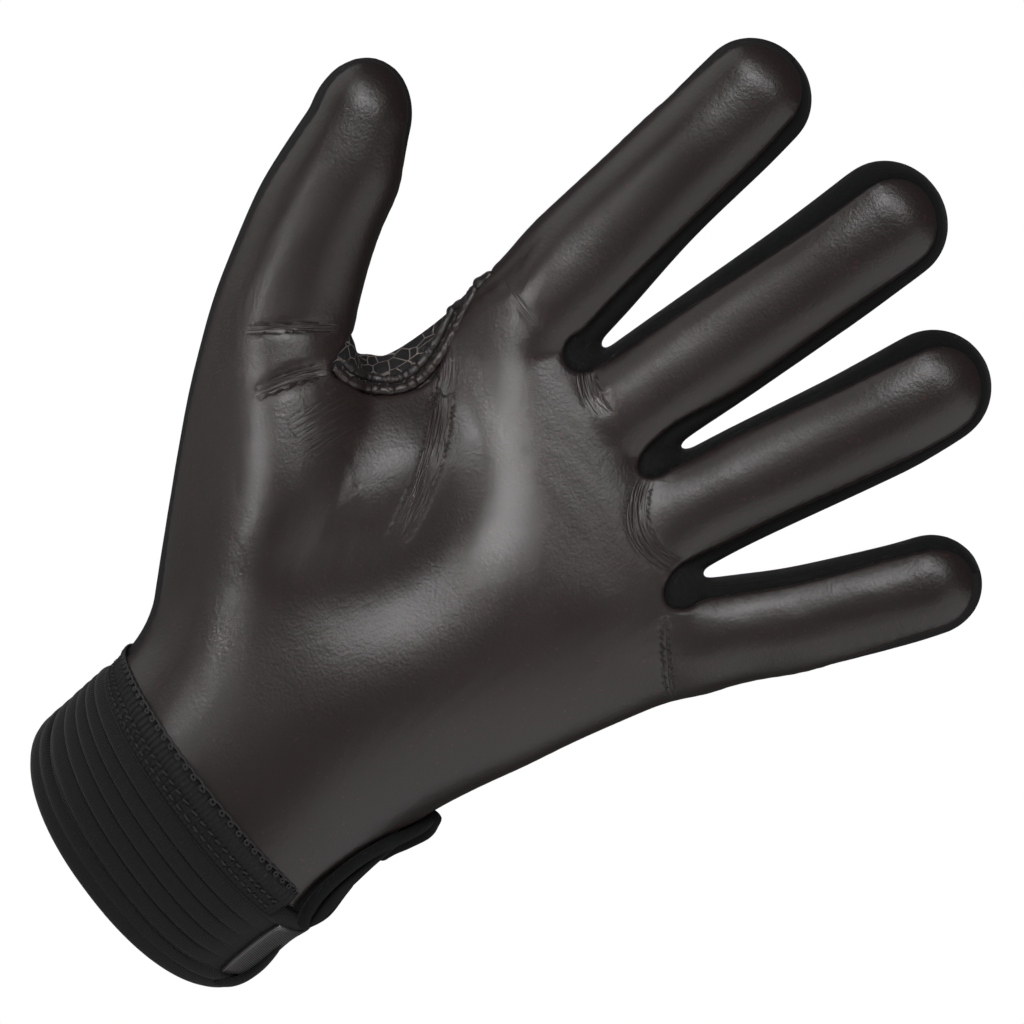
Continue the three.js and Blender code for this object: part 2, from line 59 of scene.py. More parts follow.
def make_camera():
    data = bpy.data.cameras.new("photo_camera")
    data.sensor_width = SENSOR
    data.lens = SENSOR * CAMERA_DISTANCE / (IMAGE_SIZE * MM_PER_PIXEL)
    data.clip_end = 50
    camera = bpy.data.objects.new("photo_camera", data)
    bpy.context.scene.collection.objects.link(camera)
    roll = math.radians(CAMERA_ROLL)
    right = Vector((math.cos(roll), 0, math.sin(roll)))
    up = Vector((-math.sin(roll), 0, math.cos(roll)))
    back = Vector((0, -1, 0))
    turn = Matrix((right, up, back)).transposed().to_4x4()
    place = (Vector(CAMERA_TARGET) + back * CAMERA_DISTANCE) * MM
    camera.matrix_world = Matrix.Translation(place) @ turn
    bpy.context.scene.camera = camera


make_camera()

# ---- sizes ----
# A section is an oval, with its columns in the order x, z, lean, half, deep, y, left, right. half is
# its half width, deep its half depth and lean its tilt towards +X. left and right are the distances of
# the palm panel's seam from its two edges. In place of left, sections of the palm and the wrist have
# a pitch, the angle that drops their palm side.
X, Z, LEAN, HALF, DEEP, Y, LEFT, RIGHT = range(8)
PITCH = LEFT  # in the sections of the palm and wrist
INDEX = [
    (-34.8, 122.0, -6, 13.2, 12.5, 0.0, -3.0, 4.2),
    (-35.8, 135.0, -6, 13.3, 12.0, 0.0, -3.0, 3.9),
    (-37.3, 145.5, -6, 13.5, 11.7, -0.4, -3.0, 3.9),
    (-39.7, 166.5, -5, 12.5, 11.2, -1.3, -2.0, 2.5),
    (-41.5, 187.5, -5, 12.5, 10.8, -2.4, 0.4, 2.5),
    (-42.4, 196.4, -3, 12.4, 10.4, -3.0, 1.4, 2.9),
]
MIDDLE = [
    (-8.6, 126.0, 2, 12.6, 12.5, 0.0, 2.6, 4.4),
    (-8.0, 140.3, 3, 12.5, 12.0, 0.0, 2.2, 3.7),
    (-6.8, 156.0, 4, 12.7, 11.6, -0.5, 2.7, 2.1),
    (-5.3, 177.0, 3, 12.8, 11.2, -1.5, 3.6, 2.5),
    (-4.7, 187.5, 3, 12.9, 11.0, -2.1, 4.2, 2.5),
    (-4.2, 201.6, 2, 13.0, 10.6, -3.0, 4.8, 2.3),
]
RING = [
    (14.9, 123.0, 12, 12.4, 12.2, 0.0, 2.4, 3.4),
    (17.8, 135.0, 12, 11.8, 11.8, 0.0, 1.8, 2.3),
    (20.1, 145.5, 12, 11.9, 11.4, -0.4, 1.7, 2.4),
    (25.1, 166.5, 12, 12.2, 11.0, -1.3, 2.7, 2.1),
    (27.3, 177.0, 11, 12.4, 10.8, -1.8, 3.2, 2.0),
    (28.8, 186.7, 8, 12.2, 10.4, -2.5, 3.9, 1.7),
]
PINKY = [
    (36.8, 113.0, 27, 11.8, 11.6, 0.0, 5.6, -3.0),
    (43.0, 124.5, 27, 11.2, 11.2, 0.0, 3.7, -2.0),
    (49.1, 135.0, 28, 11.0, 10.8, -0.4, 3.3, -0.6),
    (57.7, 153.3, 25, 10.6, 10.0, -1.4, 2.6, 1.1),
    (60.6, 160.4, 23, 10.5, 9.6, -2.0, 2.9, 1.1),
]
THUMB = [
    (-21.6, 41.8, -35, 20.0, 14.5, -1.0, 0.8, -3.0),
    (-35.7, 59.2, -39, 21.0, 17.0, -3.5, 0.8, -3.0),
    (-50.4, 75.0, -40, 20.3, 16.2, -5.0, 0.8, -3.0),
    (-59.9, 83.4, -38, 18.0, 15.0, -5.5, 0.8, -3.0),
    (-68.5, 90.9, -33, 15.2, 13.6, -6.0, 0.8, -3.0),
    (-75.0, 100.2, -30, 14.1, 12.8, -6.6, 0.9, -3.0),
    (-80.9, 110.3, -29, 13.4, 12.2, -7.2, 1.2, -2.0),
    (-85.2, 120.3, -28, 12.6, 11.4, -8.0, 1.5, -1.0),
    (-89.8, 128.3, -34, 10.7, 10.0, -8.8, 1.5, 0.4),
]
WRIST = [
    (0.4, -6.0, 1.5, 32.9, 26.0, 12.2, 33, 0),
    (0.2, 0.0, 2, 33.4, 25.0, 8.5, 32, 0),
    (-0.2, 6.0, 4, 33.5, 24.0, 5.2, 26, 0),
    (-0.4, 12.0, 3, 33.5, 23.0, 2.7, 19, 0),
]
PALM = [
    (0.0, 18.1, 1, 34.2, 22.6, 1.1, 12, 0),
    (-2.3, 28.4, 0, 34.8, 21.4, 0.3, 7, 0),
    (-6.8, 38.9, 0, 37.8, 20.4, 0.0, 3, 0),
    (-10.3, 49.4, 0, 42.0, 19.6, 0.0, 0, 0),
    (-12.0, 59.9, 0, 45.8, 18.8, 0.0, 0, 0),
    (-11.5, 70.4, 0, 48.0, 18.2, 0.0, 0, 0),
    (-9.8, 80.9, 0, 48.7, 17.6, 0.0, 0, 0),
    (-5.7, 91.4, 0, 47.4, 17.0, 0.0, 0, 0),
    (-1.9, 101.9, 0, 46.8, 16.4, 0.0, 0, 0),
    (0.9, 112.4, 2, 48.4, 15.6, 0.0, 0, 0),
    (1.6, 121.5, 5, 49.6, 14.0, 0.0, 0, 0),
    (1.0, 127.0, 9, 48.0, 11.0, 0.0, 0, 0),
    (0.0, 130.0, 11, 44.0, 6.5, 0.0, 0, 0),
]
# The length of a rounded end, and how far the palm's seam stays below its tip
THUMB_CAP, THUMB_TOP = 13.8, 0.7
FINGERS = [(INDEX, 11.5, 1.4), (MIDDLE, 12.0, 2.7), (RING, 12.4, 2.6), (PINKY, 10.9, 1.9)]
ROOT = 14.0  # how far a finger's form goes on inside the palm
# The floor of each gap between two fingers, and last of the thumb's web, as a flattened ball: its x
# and its top, then its half width, half height and half depth
FLOORS = [(-21.8, 138.0, 9.0, 10.0, 10.5), (5.4, 137.4, 8.0, 10.0, 10.5), (29.0, 123.0, 9.0, 9.0, 10.5),
          (-46.5, 101.5, 7.0, 8.0, 6.0)]
# The round of the palm's seam below each gap: x, z of its lowest point, half width, height
SCOOPS = [(-23.0, 130.2, 3.9, 4.6), (4.1, 127.9, 3.3, 6.0), (28.6, 115.1, 4.2, 6.6)]
# The palm's seam along the web between thumb and index finger, from the thumb
WEB = [(-54.8, 95.2), (-53.0, 91.2), (-48.6, 92.2), (-43.3, 95.2), (-39.4, 101.9), (-38.8, 106.2),
       (-40.6, 110.5), (-44.2, 116.6), (-46.6, 122.9), (-48.8, 130.0)]
# The palm's edge down the thumb's side of the wrist, and the height where the thumb's inner seam starts
WRIST_EDGE = [(-34.0, 22.0), (-34.0, 0.0)]
THUMB_SEAM_FROM = 100
# The palm's edge beside the slit, up the wrist
SLIT_EDGE = [(27.8, 0.0), (27.9, 24.0), (29.2, 37.0), (31.0, 43.0), (33.6, 47.5), (38.0, 50.0)]
ROUND = 2.2  # how square the oval sections are: 2 is an ellipse
BACK_SEAM, FRONT_SEAM = 4.0, -1.5  # how far behind a section's middle a panel's edge lies
WEB_BACK = 0.0  # and the same in the web
WRAP = 3.0  # a seam that lies this far outside a section's edge lies as far back as BACK_SEAM
HAND_END, HAND_END_BACK, HAND_END_TILT = 17.6, 1.1, 12  # height, depth and tilt of the panels' lower end
RING_STEP = 3.0
VOXEL = 0.86
SMOOTHING = 12  # rounds of smoothing that take the voxels' steps off
BLENDING = 225  # rounds that blend the fingers and the thumb into the palm
PALM_RISE = 0.9  # how far the coated panel stands proud of the knit

# Creases of the coated palm: x, z, to x, to z, bow, wide, pitch, line, fold, fold wide. Each runs from
# one point to another and bows to its left. Fine lines of this depth and pitch fill its width to both
# sides, and the fold is a wider valley, with its depth and half width.
WIDE, LINE_PITCH, LINE, FOLD, FOLD_WIDE = range(5, 10)
CREASES = [
    (-46.0, 131.4, -32.5, 130.2, -0.4, 1.0, 0.8, 0.15, 0.25, 0.9),
    (-20.0, 132.5, -9.5, 129.5, -1.2, 2.6, 1.0, 0.20, 0.20, 1.6),
    (5.5, 127.6, 25.0, 121.8, -5.2, 3.0, 1.0, 0.22, 0.35, 2.4),
    (30.8, 112.5, 44.0, 103.6, -0.3, 1.0, 0.9, 0.20, 0.25, 1.0),
    (-70.2, 83.3, -59.4, 97.4, 0.2, 1.2, 0.7, 0.30, 0.60, 1.5),
    (-53.5, 91.0, -58.8, 76.5, -0.6, 1.8, 0.8, 0.30, 1.10, 1.9),
    (-38.8, 109.6, -17.2, 79.8, 2.6, 2.8, 0.8, 0.15, 0.35, 2.6),
    (-43.5, 94.0, -45.2, 77.0, 0.0, 6.0, 1.3, 0.10, 0.0, 1.0),
    (-40.5, 112.0, -33.0, 101.0, 1.5, 2.4, 0.9, 0.12, 0.0, 1.0),
]

# Mounds and hollows of the palm side: x, z, half width, half height, turn in degrees, how flat its
# middle is (2 is a plain bell), lift
RELIEF = [
    (-38, 82, 34, 34, 0, 4, -1.6),  # the hollow of the hand
    (-43, 66, 12, 24, 38, 2, 3.2),  # the ball of the thumb, along the thumb
    (-28, 77, 14, 20, 0, 2, 2.9),  # and beside it
    (-30, 97, 9, 9, 0, 2, 1.5),
    (-43, 107, 13, 9, -10, 2, -1.8),  # beside the web
    (-30, 41, 12, 18, 40, 2, 0.6),  # the left of the wrist, which is flatter
    (9, 54, 24, 26, 0, 2, 2.0),
    (24, 103, 17, 8, 8, 2, 1.4),  # the ridge below the ring finger
    (-5, 121, 18, 9, -6, 2, -0.5),
    (-41.5, 136.5, 16, 10, 0, 2, 1.2),  # the pads of the fingers
    (-42.5, 180.5, 16, 11, 0, 2, 0.8),
    (-9, 143, 16, 10, 0, 2, 0.4),
    (-5.5, 190, 16, 11, 0, 2, 0.5),
    (17.5, 135, 16, 10, 0, 2, 0.5),
    (27, 177, 16, 11, 0, 2, 0.9),
]
# The wall where the palm drops into the hollow of the hand, from the index finger round to the heel:
# x, z, height
WALL = [
    (-42.0, 131.0, 0.6),
    (-38.6, 125.8, 2.8),
    (-33.8, 120.8, 3.6),
    (-28.0, 115.3, 4.0),
    (-18.0, 109.8, 4.0),
    (-9.6, 102.9, 4.0),
    (-3.6, 92.4, 4.2),
    (-2.4, 80.9, 4.2),
    (-4.4, 69.3, 3.6),
    (-9.4, 60.9, 2.4),
    (-16.0, 55.5, 1.1),
    (-23.0, 52.0, 0.0),
]
WALL_WIDE, WALL_REACH = 4.8, 17.0  # how gently it drops, and how far the hollow goes on behind it


def resample(rows, step):
    """The rows of a table at about this spacing, on a smooth curve through them."""
    rows = np.array(rows, float)
    last = len(rows) - 1
    made = []
    for i in range(last):
        a, b, c, d = (rows[min(max(k, 0), last)] for k in (i - 1, i, i + 1, i + 2))
        count = max(1, round(float(np.hypot(*(c - b)[:2])) / step))
        for t in np.arange(count) / count:
            bend = (2 * a - 5 * b + 4 * c - d) * t**2 + (3 * b - a - 3 * c + d) * t**3
            made.append(b + 0.5 * ((c - a) * t + bend))
    made.append(rows[last])
    return np.array(made)


SLEEVE = resample(WRIST + PALM[:9], 1.0)  # the tube of the wrist


def even_path(points, step, closed=False):
    """A smooth line through the points, with points at this spacing. Further columns are carried."""
    points = np.array(points, float)
    count = len(points)
    pick = (lambda k: points[k % count]) if closed else (lambda k: points[min(max(k, 0), count - 1)])
    dense = []
    for i in range(count if closed else count - 1):
        a, b, c, d = (pick(k) for k in (i - 1, i, i + 1, i + 2))
        gap = [max(1e-3, float(np.hypot(*(q - p)[:2]))) ** 0.5 for p, q in ((a, b), (b, c), (c, d))]
        m1 = (c - b) + gap[1] * ((b - a) / gap[0] - (c - a) / (gap[0] + gap[1]))
        m2 = (c - b) + gap[1] * ((d - c) / gap[2] - (d - b) / (gap[1] + gap[2]))
        for t in np.arange(24) / 24:
            t2, t3 = t * t, t * t * t
            place = (2 * t3 - 3 * t2 + 1) * b + (t3 - 2 * t2 + t) * m1
            dense.append(place + (3 * t2 - 2 * t3) * c + (t3 - t2) * m2)
    dense.append(points[0] if closed else points[-1])
    dense = np.array(dense)
    run = np.concatenate([[0], np.cumsum(np.hypot(*np.diff(dense[:, :2], axis=0).T))])
    even = np.linspace(0, run[-1], max(2, round(run[-1] / step)) + 1)
    return np.stack([np.interp(even, run, dense[:, k]) for k in range(dense.shape[1])], axis=1)


def tree_of(line):
    """A search tree over the x and z of a line's points."""
    tree = kdtree.KDTree(len(line))
    for i, point in enumerate(line):
        tree.insert((point[0], point[1], 0), i)
    tree.balance()
    return tree


def section(row, angles, pitch=0.0, rise=0.0, shrink=1.0):
    """Points round a section. The angle runs from the middle of the palm side towards +X."""
    power = 2 / ROUND
    across = np.sign(np.sin(angles)) * np.abs(np.sin(angles)) ** power * (row[HALF] + rise) * shrink
    forward = np.sign(np.cos(angles)) * np.abs(np.cos(angles)) ** power * (row[DEEP] + rise) * shrink
    tip, lean = math.radians(pitch), math.radians(row[LEAN])
    down = -forward * math.sin(tip)
    x = row[X] + across * math.cos(lean) + down * math.sin(lean)
    y = row[Y] - forward * math.cos(tip)
    z = row[Z] - across * math.sin(lean) + down * math.cos(lean)
    return np.stack([x, y, z], axis=-1)


def skin(bm, rings):
    """A grid of faces over rings of points. Points that meet are merged, so rings and ends close."""
    along, around = len(rings) - 1, len(rings[0]) - 1
    made = bmesh.ops.create_grid(bm, x_segments=around, y_segments=along, size=1)["verts"]
    for vert in made:
        u, v = (vert.co.x + 1) / 2, (vert.co.y + 1) / 2
        vert.co = rings[round(v * along)][round(u * around)]
    bmesh.ops.remove_doubles(bm, verts=made, dist=1e-3)


def wrist_point(z, angle, rise):
    """A point of the wrist's tube, at a height of its middle line and an angle."""
    row = [np.interp(z, SLEEVE[:, Z], SLEEVE[:, k]) for k in range(8)]
    return section(row, angle, row[PITCH], rise=rise)


def full_turn(count):
    """Angles all the way round, with the first one again at the end."""
    return np.linspace(0, 2 * math.pi, count + 1)


def wrist_rings(profile, angles):
    """Rings round the wrist for a profile of heights and rises. A rise may differ with the angle."""
    return [wrist_point(z, angles, rise) for z, rise in profile]


def wrist_line(heights, angles, rises):
    """Points along a line on the wrist, and the way outwards at each."""
    places = list(zip(heights, angles, rises))
    middle = np.array([wrist_point(z, angle, rise) for z, angle, rise in places])
    lower = np.array([wrist_point(z, angle, rise - 1) for z, angle, rise in places])
    return middle, middle - lower


def finger_rings(rows, cap, around=72):
    """Rings of a finger, from inside the palm, where it thins, to its rounded end."""
    root = np.array(rows[0], float)
    lean = math.radians(root[LEAN])
    root[X] -= ROOT * math.sin(lean)
    root[Z] -= ROOT * math.cos(lean)
    root[HALF] *= 0.9
    root[DEEP] *= 0.55
    rows = resample([root] + rows, RING_STEP)
    angles = full_turn(around)
    rings = [section(rows[0], angles, shrink=0.0)]
    rings += [section(row, angles) for row in rows]
    end = rows[-1]
    lean = math.radians(end[LEAN])
    for t in np.radians(np.arange(6, 91, 6)):
        moved = end.copy()
        moved[X] += cap * math.sin(t) * math.sin(lean)
        moved[Z] += cap * math.sin(t) * math.cos(lean)
        rings.append(section(moved, angles, shrink=math.cos(t)))
    return rings


def palm_rings(around=120):
    rows = resample(WRIST[2:] + PALM, RING_STEP)
    angles = full_turn(around)
    rings = [section(rows[0], angles, rows[0][PITCH], shrink=0.0)]
    rings += [section(row, angles, row[PITCH]) for row in rows]
    rings.append(section(rows[-1], angles, rows[-1][PITCH], shrink=0.0))
    return rings


def roll_rings(middle, outward, widths, heights, around=16):
    """Rings of a flattened roll along a line of points, with its flat side to the outward normals."""
    middle, outward = np.array(middle, float), np.array(outward, float)
    along = np.gradient(middle, axis=0)
    along /= np.linalg.norm(along, axis=1)[:, None]
    side = np.cross(along, outward)
    side /= np.linalg.norm(side, axis=1)[:, None]
    outward = np.cross(side, along)
    angles = full_turn(around)[:, None]
    rings = []
    for place, a, b, wide, high in zip(middle, side, outward, widths, heights):
        rings.append(place + np.cos(angles) * a * wide + np.sin(angles) * b * high)
    return rings


def rounded(count, reach=0.12):
    """Shares from 0 at both ends to 1 between them, that close a roll with round ends."""
    t = np.linspace(0, 1, count)
    near = np.minimum(np.minimum(t, 1 - t) / reach, 1)
    return np.sqrt(np.maximum(0, 1 - (1 - near) ** 2))


def evaluated(bm, *modifiers):
    """The mesh with modifiers applied, as a new mesh."""
    mesh = bpy.data.meshes.new("form")
    bm.to_mesh(mesh)
    form = bpy.data.objects.new("form", mesh)
    bpy.context.scene.collection.objects.link(form)
    for kind, settings in modifiers:
        modifier = form.modifiers.new(kind.lower(), kind)
        for key, value in settings.items():
            setattr(modifier, key, value)
    graph = bpy.context.evaluated_depsgraph_get()
    result = bpy.data.meshes.new_from_object(form.evaluated_get(graph))
    bpy.data.objects.remove(form)
    return result


def rows_of(mesh, name):
    """The place ("co") or the normal of every vertex."""
    flat = np.empty(len(mesh.vertices) * 3, np.float32)
    mesh.vertices.foreach_get(name, flat)
    return flat.reshape(-1, 3).astype(float)


def crease_places(row, x, z):
    """How far along a crease points lie, from 0 to 1, how far to its left, and its length."""
    from_x, from_z, to_x, to_z, bow = row[:5]
    length = math.hypot(to_x - from_x, to_z - from_z)
    c, s = (to_x - from_x) / length, (to_z - from_z) / length
    u = ((x - from_x) * c + (z - from_z) * s) / length
    return u, (z - from_z) * c - (x - from_x) * s - bow * 4 * u * (1 - u), length


def relief(x, z):
    """How high the mounds and the folds of the palm side lift it."""
    total = np.zeros_like(x)
    for at_x, at_z, wide, high, turn, edge, lift in RELIEF:
        c, s = math.cos(math.radians(turn)), math.sin(math.radians(turn))
        u, v = (x - at_x) * c + (z - at_z) * s, (z - at_z) * c - (x - at_x) * s
        total += lift * np.exp(-(np.hypot(u / wide, v / high) ** edge))
    for row in CREASES:
        u, v, _ = crease_places(row, x, z)
        ends = np.clip(u / 0.2, 0, 1) * np.clip((1 - u) / 0.2, 0, 1)
        total -= row[FOLD] * np.exp(-((v / row[FOLD_WIDE]) ** 2)) * ends
    return total


def hollow(x, z):
    """How deep the hollow behind the wall is."""
    line = even_path(WALL, 0.5)
    along = np.gradient(line, axis=0)
    along /= np.hypot(along[:, 0], along[:, 1])[:, None]
    tree = tree_of(line)
    at = np.array([tree.find((a, b, 0))[1] for a, b in zip(x, z)])
    off_x, off_z = x - line[at, 0], z - line[at, 1]
    left = np.hypot(off_x, off_z) * np.sign(along[at, 0] * off_z - along[at, 1] * off_x)
    drop = 1 / (1 + np.exp(np.clip(left / WALL_WIDE, -30, 30)))
    return line[at, 2] * drop * np.exp(-((np.minimum(left, 0) / WALL_REACH) ** 2))


def crease_values(x, z):
    """For the palm's finish: how deep the crease lines are, and the place across and along them."""
    deep, across, along = np.zeros_like(x), np.zeros_like(x), np.zeros_like(x)
    for number, row in enumerate(CREASES):
        u, v, length = crease_places(row, x, z)
        ends = np.clip((u + 0.05) / 0.25, 0, 1) * np.clip((1.05 - u) / 0.25, 0, 1)
        share = row[LINE] * ends * np.clip(2 * (1 - np.abs(v) / row[WIDE]), 0, 1)
        chosen = share > deep
        deep = np.where(chosen, share, deep)
        across = np.where(chosen, v / row[LINE_PITCH] + number * 7, across)
        along = np.where(chosen, u * length / 13, along)
    return deep, across, along


def palm_share(x, z):
    """1 on the palm and 0 up the fingers and the thumb, where the lofts are kept as they are."""
    fingers = np.clip((139 - z + 0.22 * (x - 5)) / 12, 0, 1)
    thumb = np.clip((x + 78) / 14, 0, 1)
    return fingers * thumb * np.clip((z - 20) / 8, 0, 1)


def make_hand():
    """The whole hand as one smooth closed form."""
    bm = bmesh.new()
    skin(bm, palm_rings())
    skin(bm, finger_rings(THUMB, THUMB_CAP))
    for rows, cap, _ in FINGERS:
        skin(bm, finger_rings(rows, cap))
    for x, top, half, high, deep in FLOORS:
        ball = bmesh.ops.create_uvsphere(bm, u_segments=48, v_segments=24, radius=1)["verts"]
        bmesh.ops.scale(bm, vec=(half, deep, high), verts=ball)
        bmesh.ops.translate(bm, vec=(x, 0, top - high), verts=ball)
    bmesh.ops.recalc_face_normals(bm, faces=bm.faces)
    remesh = ("REMESH", {"mode": "VOXEL", "voxel_size": VOXEL})
    mesh = evaluated(bm, remesh, ("SMOOTH", {"factor": 0.5, "iterations": SMOOTHING}))
    bm.free()
    bm = bmesh.new()
    bm.from_mesh(mesh)
    blended = rows_of(evaluated(bm, ("SMOOTH", {"factor": 0.5, "iterations": BLENDING})), "co")
    bm.free()
    points, normals = rows_of(mesh, "co"), rows_of(mesh, "normal")
    # The palm's middle takes the blended form, and only what faces the front is lifted or hollowed
    front = np.clip(-normals[:, 1], 0, 1) ** 0.7
    share = palm_share(points[:, 0], points[:, 2]) * np.clip(-normals[:, 1] * 1.6, 0, 1)
    points[:, 1] += (blended[:, 1] - points[:, 1]) * share
    points[:, 1] -= relief(points[:, 0], points[:, 2]) * front
    facing = np.flatnonzero(front > 0)
    points[facing, 1] += hollow(points[facing, 0], points[facing, 2]) * front[facing]
    mesh.vertices.foreach_set("co", points.astype(np.float32).ravel())
    mesh.update()
    return mesh


# ---- seams ----
def seam_point(row, side):
    """A point of the palm's seam beside a section, with how far back the panel reaches there."""
    inset = row[LEFT] if side < 0 else row[RIGHT]
    reach = side * (row[HALF] - inset)
    lean = math.radians(row[LEAN])
    share = min(max((inset + WRAP) / (WRAP + 1), 0), 1)
    back = row[Y] + BACK_SEAM + (FRONT_SEAM - BACK_SEAM) * share
    return (row[X] + reach * math.cos(lean), row[Z] - reach * math.sin(lean), back)


def cap_seam(row, cap):
    """The seam over a rounded end, from its right edge to its left one."""
    lean = math.radians(row[LEAN])
    points = []
    for turn in np.radians(np.arange(18, 163, 18)):
        across = math.cos(turn) * (row[HALF] - (row[RIGHT] if turn < math.pi / 2 else row[LEFT]))
        along = math.sin(turn) * cap
        x = row[X] + across * math.cos(lean) + along * math.sin(lean)
        z = row[Z] - across * math.sin(lean) + along * math.cos(lean)
        points.append((x, z, row[Y] + FRONT_SEAM))
    return points


def palm_outline():
    """The edge of the palm panel, anticlockwise on the palm, as points with how far back it reaches."""
    line = [(x, z, BACK_SEAM) for x, z in SLIT_EDGE]
    low, high = SLIT_EDGE[-1][1], PINKY[0][Z]
    line += [(row[X] + row[HALF] + WRAP, row[Z], BACK_SEAM) for row in PALM if low < row[Z] < high]
    scoops = list(SCOOPS)
    for rows, cap, top in reversed(FINGERS):
        line += [seam_point(row, 1) for row in rows[1:]]
        line += cap_seam(rows[-1], cap - top)
        line += [seam_point(row, -1) for row in rows[:0:-1]]
        if scoops:
            x, z, half, deep = scoops.pop()
            for turn in np.radians((0, 30, 60, 90, 120, 150, 180)):
                line.append((x + half * math.cos(turn), z + deep * (1 - math.sin(turn)), FRONT_SEAM))
    line += [(x, z, WEB_BACK) for x, z in reversed(WEB)]
    line += [seam_point(row, 1) for row in THUMB if row[Z] > THUMB_SEAM_FROM]
    line += cap_seam(THUMB[-1], THUMB_CAP - THUMB_TOP)
    line += [seam_point(row, -1) for row in reversed(THUMB)]
    line += [(x, z, FRONT_SEAM) for x, z in WRIST_EDGE]
    return np.array(line)


class Seam:
    """A closed line on the palm side, for distances from it and the way along it."""

    STEP = 0.3

    def __init__(self, points):
        self.line = even_path(points, self.STEP, closed=True)[:-1]
        ahead, behind = np.roll(self.line, -1, axis=0), np.roll(self.line, 1, axis=0)
        along = (ahead - behind)[:, :2]
        self.along = along / np.linalg.norm(along, axis=1)[:, None]
        self.tree = tree_of(self.line)

    def measure(self, x, z):
        """The distance inwards, the run along the line, and how far back the panel reaches."""
        found = [self.tree.find((a, b, 0)) for a, b in zip(x, z)]
        at = np.array([i for _, i, _ in found])
        away = np.array([d for _, _, d in found])
        offset = np.stack([x, z], axis=1) - self.line[at, :2]
        along = self.along[at]
        inward = along[:, 0] * offset[:, 1] - along[:, 1] * offset[:, 0]
        forward = along[:, 0] * offset[:, 0] + along[:, 1] * offset[:, 1]
        near = np.abs(forward) < self.STEP
        distance = np.where(near, inward, np.sign(inward) * away)
        return distance, at * self.STEP + np.where(near, forward, 0), self.line[at, 2]


def smooth_least(a, b, blend):
    """The lesser of two distances, rounded where they cross."""
    share = np.clip(0.5 + 0.5 * (b - a) / blend, 0, 1)
    return b + (a - b) * share - blend * share * (1 - share)


AXIS_REACH = 80.0  # how far a finger's middle line goes on past its two ends


def axis_side(rows, x, z):
    """How far points lie to the right of a finger's middle line."""
    places = [(row[X], row[Z]) for row in rows]
    for row, way in ((rows[0], -AXIS_REACH), (rows[-1], AXIS_REACH)):
        lean = math.radians(row[LEAN])
        end = (row[X] + way * math.sin(lean), row[Z] + way * math.cos(lean))
        places.insert(0 if way < 0 else len(places), end)
    line_x, line_z = np.array(places).T
    middle = np.interp(z, line_z, line_x)
    slope = np.gradient(line_x, line_z)
    return (x - middle) / np.sqrt(1 + np.interp(z, line_z, slope) ** 2)


def write_values(bm, key, numbers):
    """Keeps a number for every vertex under a name."""
    layer = bm.verts.layers.float.new(key)
    for vert, number in zip(bm.verts, numbers):
        vert[layer] = number


SNAP = 0.05  # a vertex this near a cut is moved on to it


def cut(bm, key, level):
    """Splits faces along the line where a value of the vertices passes a level."""
    layer = bm.verts.layers.float[key]
    on_line = []
    for vert in bm.verts:
        if abs(vert[layer] - level) < SNAP:
            vert[layer] = level
            on_line.append(vert)
    crossing = []
    for edge in bm.edges:
        a, b = edge.verts
        if (a[layer] - level) * (b[layer] - level) < 0:
            crossing.append(edge)
    for edge in crossing:
        a, b = edge.verts
        share = (level - a[layer]) / (b[layer] - a[layer])
        made = bmesh.utils.edge_split(edge, a, share)[1]
        made[layer] = level
        on_line.append(made)
    bmesh.ops.connect_verts(bm, verts=on_line)


def part_of(source, number):
    """A copy of the faces of one panel."""
    bm = source.copy()
    layer = bm.faces.layers.int["panel"]
    unwanted = [face for face in bm.faces if face[layer] != number]
    bmesh.ops.delete(bm, geom=unwanted, context="FACES")
    return bm


# Further cuts along the palm's seam, this far inside and outside it, that let its edge be rounded
PALM_LEVELS = (0.125, 0.375, 0.75, 1.25, 2.0)
KNIT_LEVELS = (-0.25, -0.625, -1.25)
SIDE_KEYS = ("side_0", "side_1", "side_2")
SIDEWALLS = ("sidewall_index_middle", "sidewall_middle_ring", "sidewall_ring_pinky")
PANELS = ("back_panel", "palm_panel") + SIDEWALLS


def split_hand(mesh):
    """The hand's form cut along its seams into panels."""
    x, y, z = rows_of(mesh, "co").T
    inward, run, back = Seam(palm_outline()).measure(x, z)
    seam = smooth_least(inward, back - y, 1.5)
    sides = []
    for (left, _, _), (right, _, _) in zip(FINGERS, FINGERS[1:]):
        a, b = np.array(left), np.array(right)
        middle = (np.interp(z, a[:, Z], a[:, Y]) + np.interp(z, b[:, Z], b[:, Y])) / 2
        between = np.minimum(axis_side(left, x, z), -axis_side(right, x, z))
        sides.append(np.minimum(middle + BACK_SEAM - y, between))
    wrist = z - HAND_END - (y - HAND_END_BACK) * math.tan(math.radians(HAND_END_TILT))
    bm = bmesh.new()
    bm.from_mesh(mesh)
    for key, numbers in zip(("seam", "run", "wrist") + SIDE_KEYS, [seam, run, wrist] + sides):
        write_values(bm, key, numbers)
    panel = bm.faces.layers.int.new("panel")
    layers = bm.verts.layers.float

    def inside(face, key):
        return sum(vert[layers[key]] for vert in face.verts) > 0

    cut(bm, "wrist", 0.0)
    below = [face for face in bm.faces if not inside(face, "wrist")]
    bmesh.ops.delete(bm, geom=below, context="FACES")
    for level in (0.0,) + PALM_LEVELS + KNIT_LEVELS:
        cut(bm, "seam", level)
    for key in SIDE_KEYS:
        cut(bm, key, 0.0)
        cut(bm, key, 0.5)
    for face in bm.faces:
        walls = [i for i, key in enumerate(SIDE_KEYS) if inside(face, key)]
        if inside(face, "seam"):
            face[panel] = PANELS.index("palm_panel")
        elif walls:
            face[panel] = PANELS.index(SIDEWALLS[walls[0]])
    made = {name: part_of(bm, i) for i, name in enumerate(PANELS)}
    bm.free()
    return made


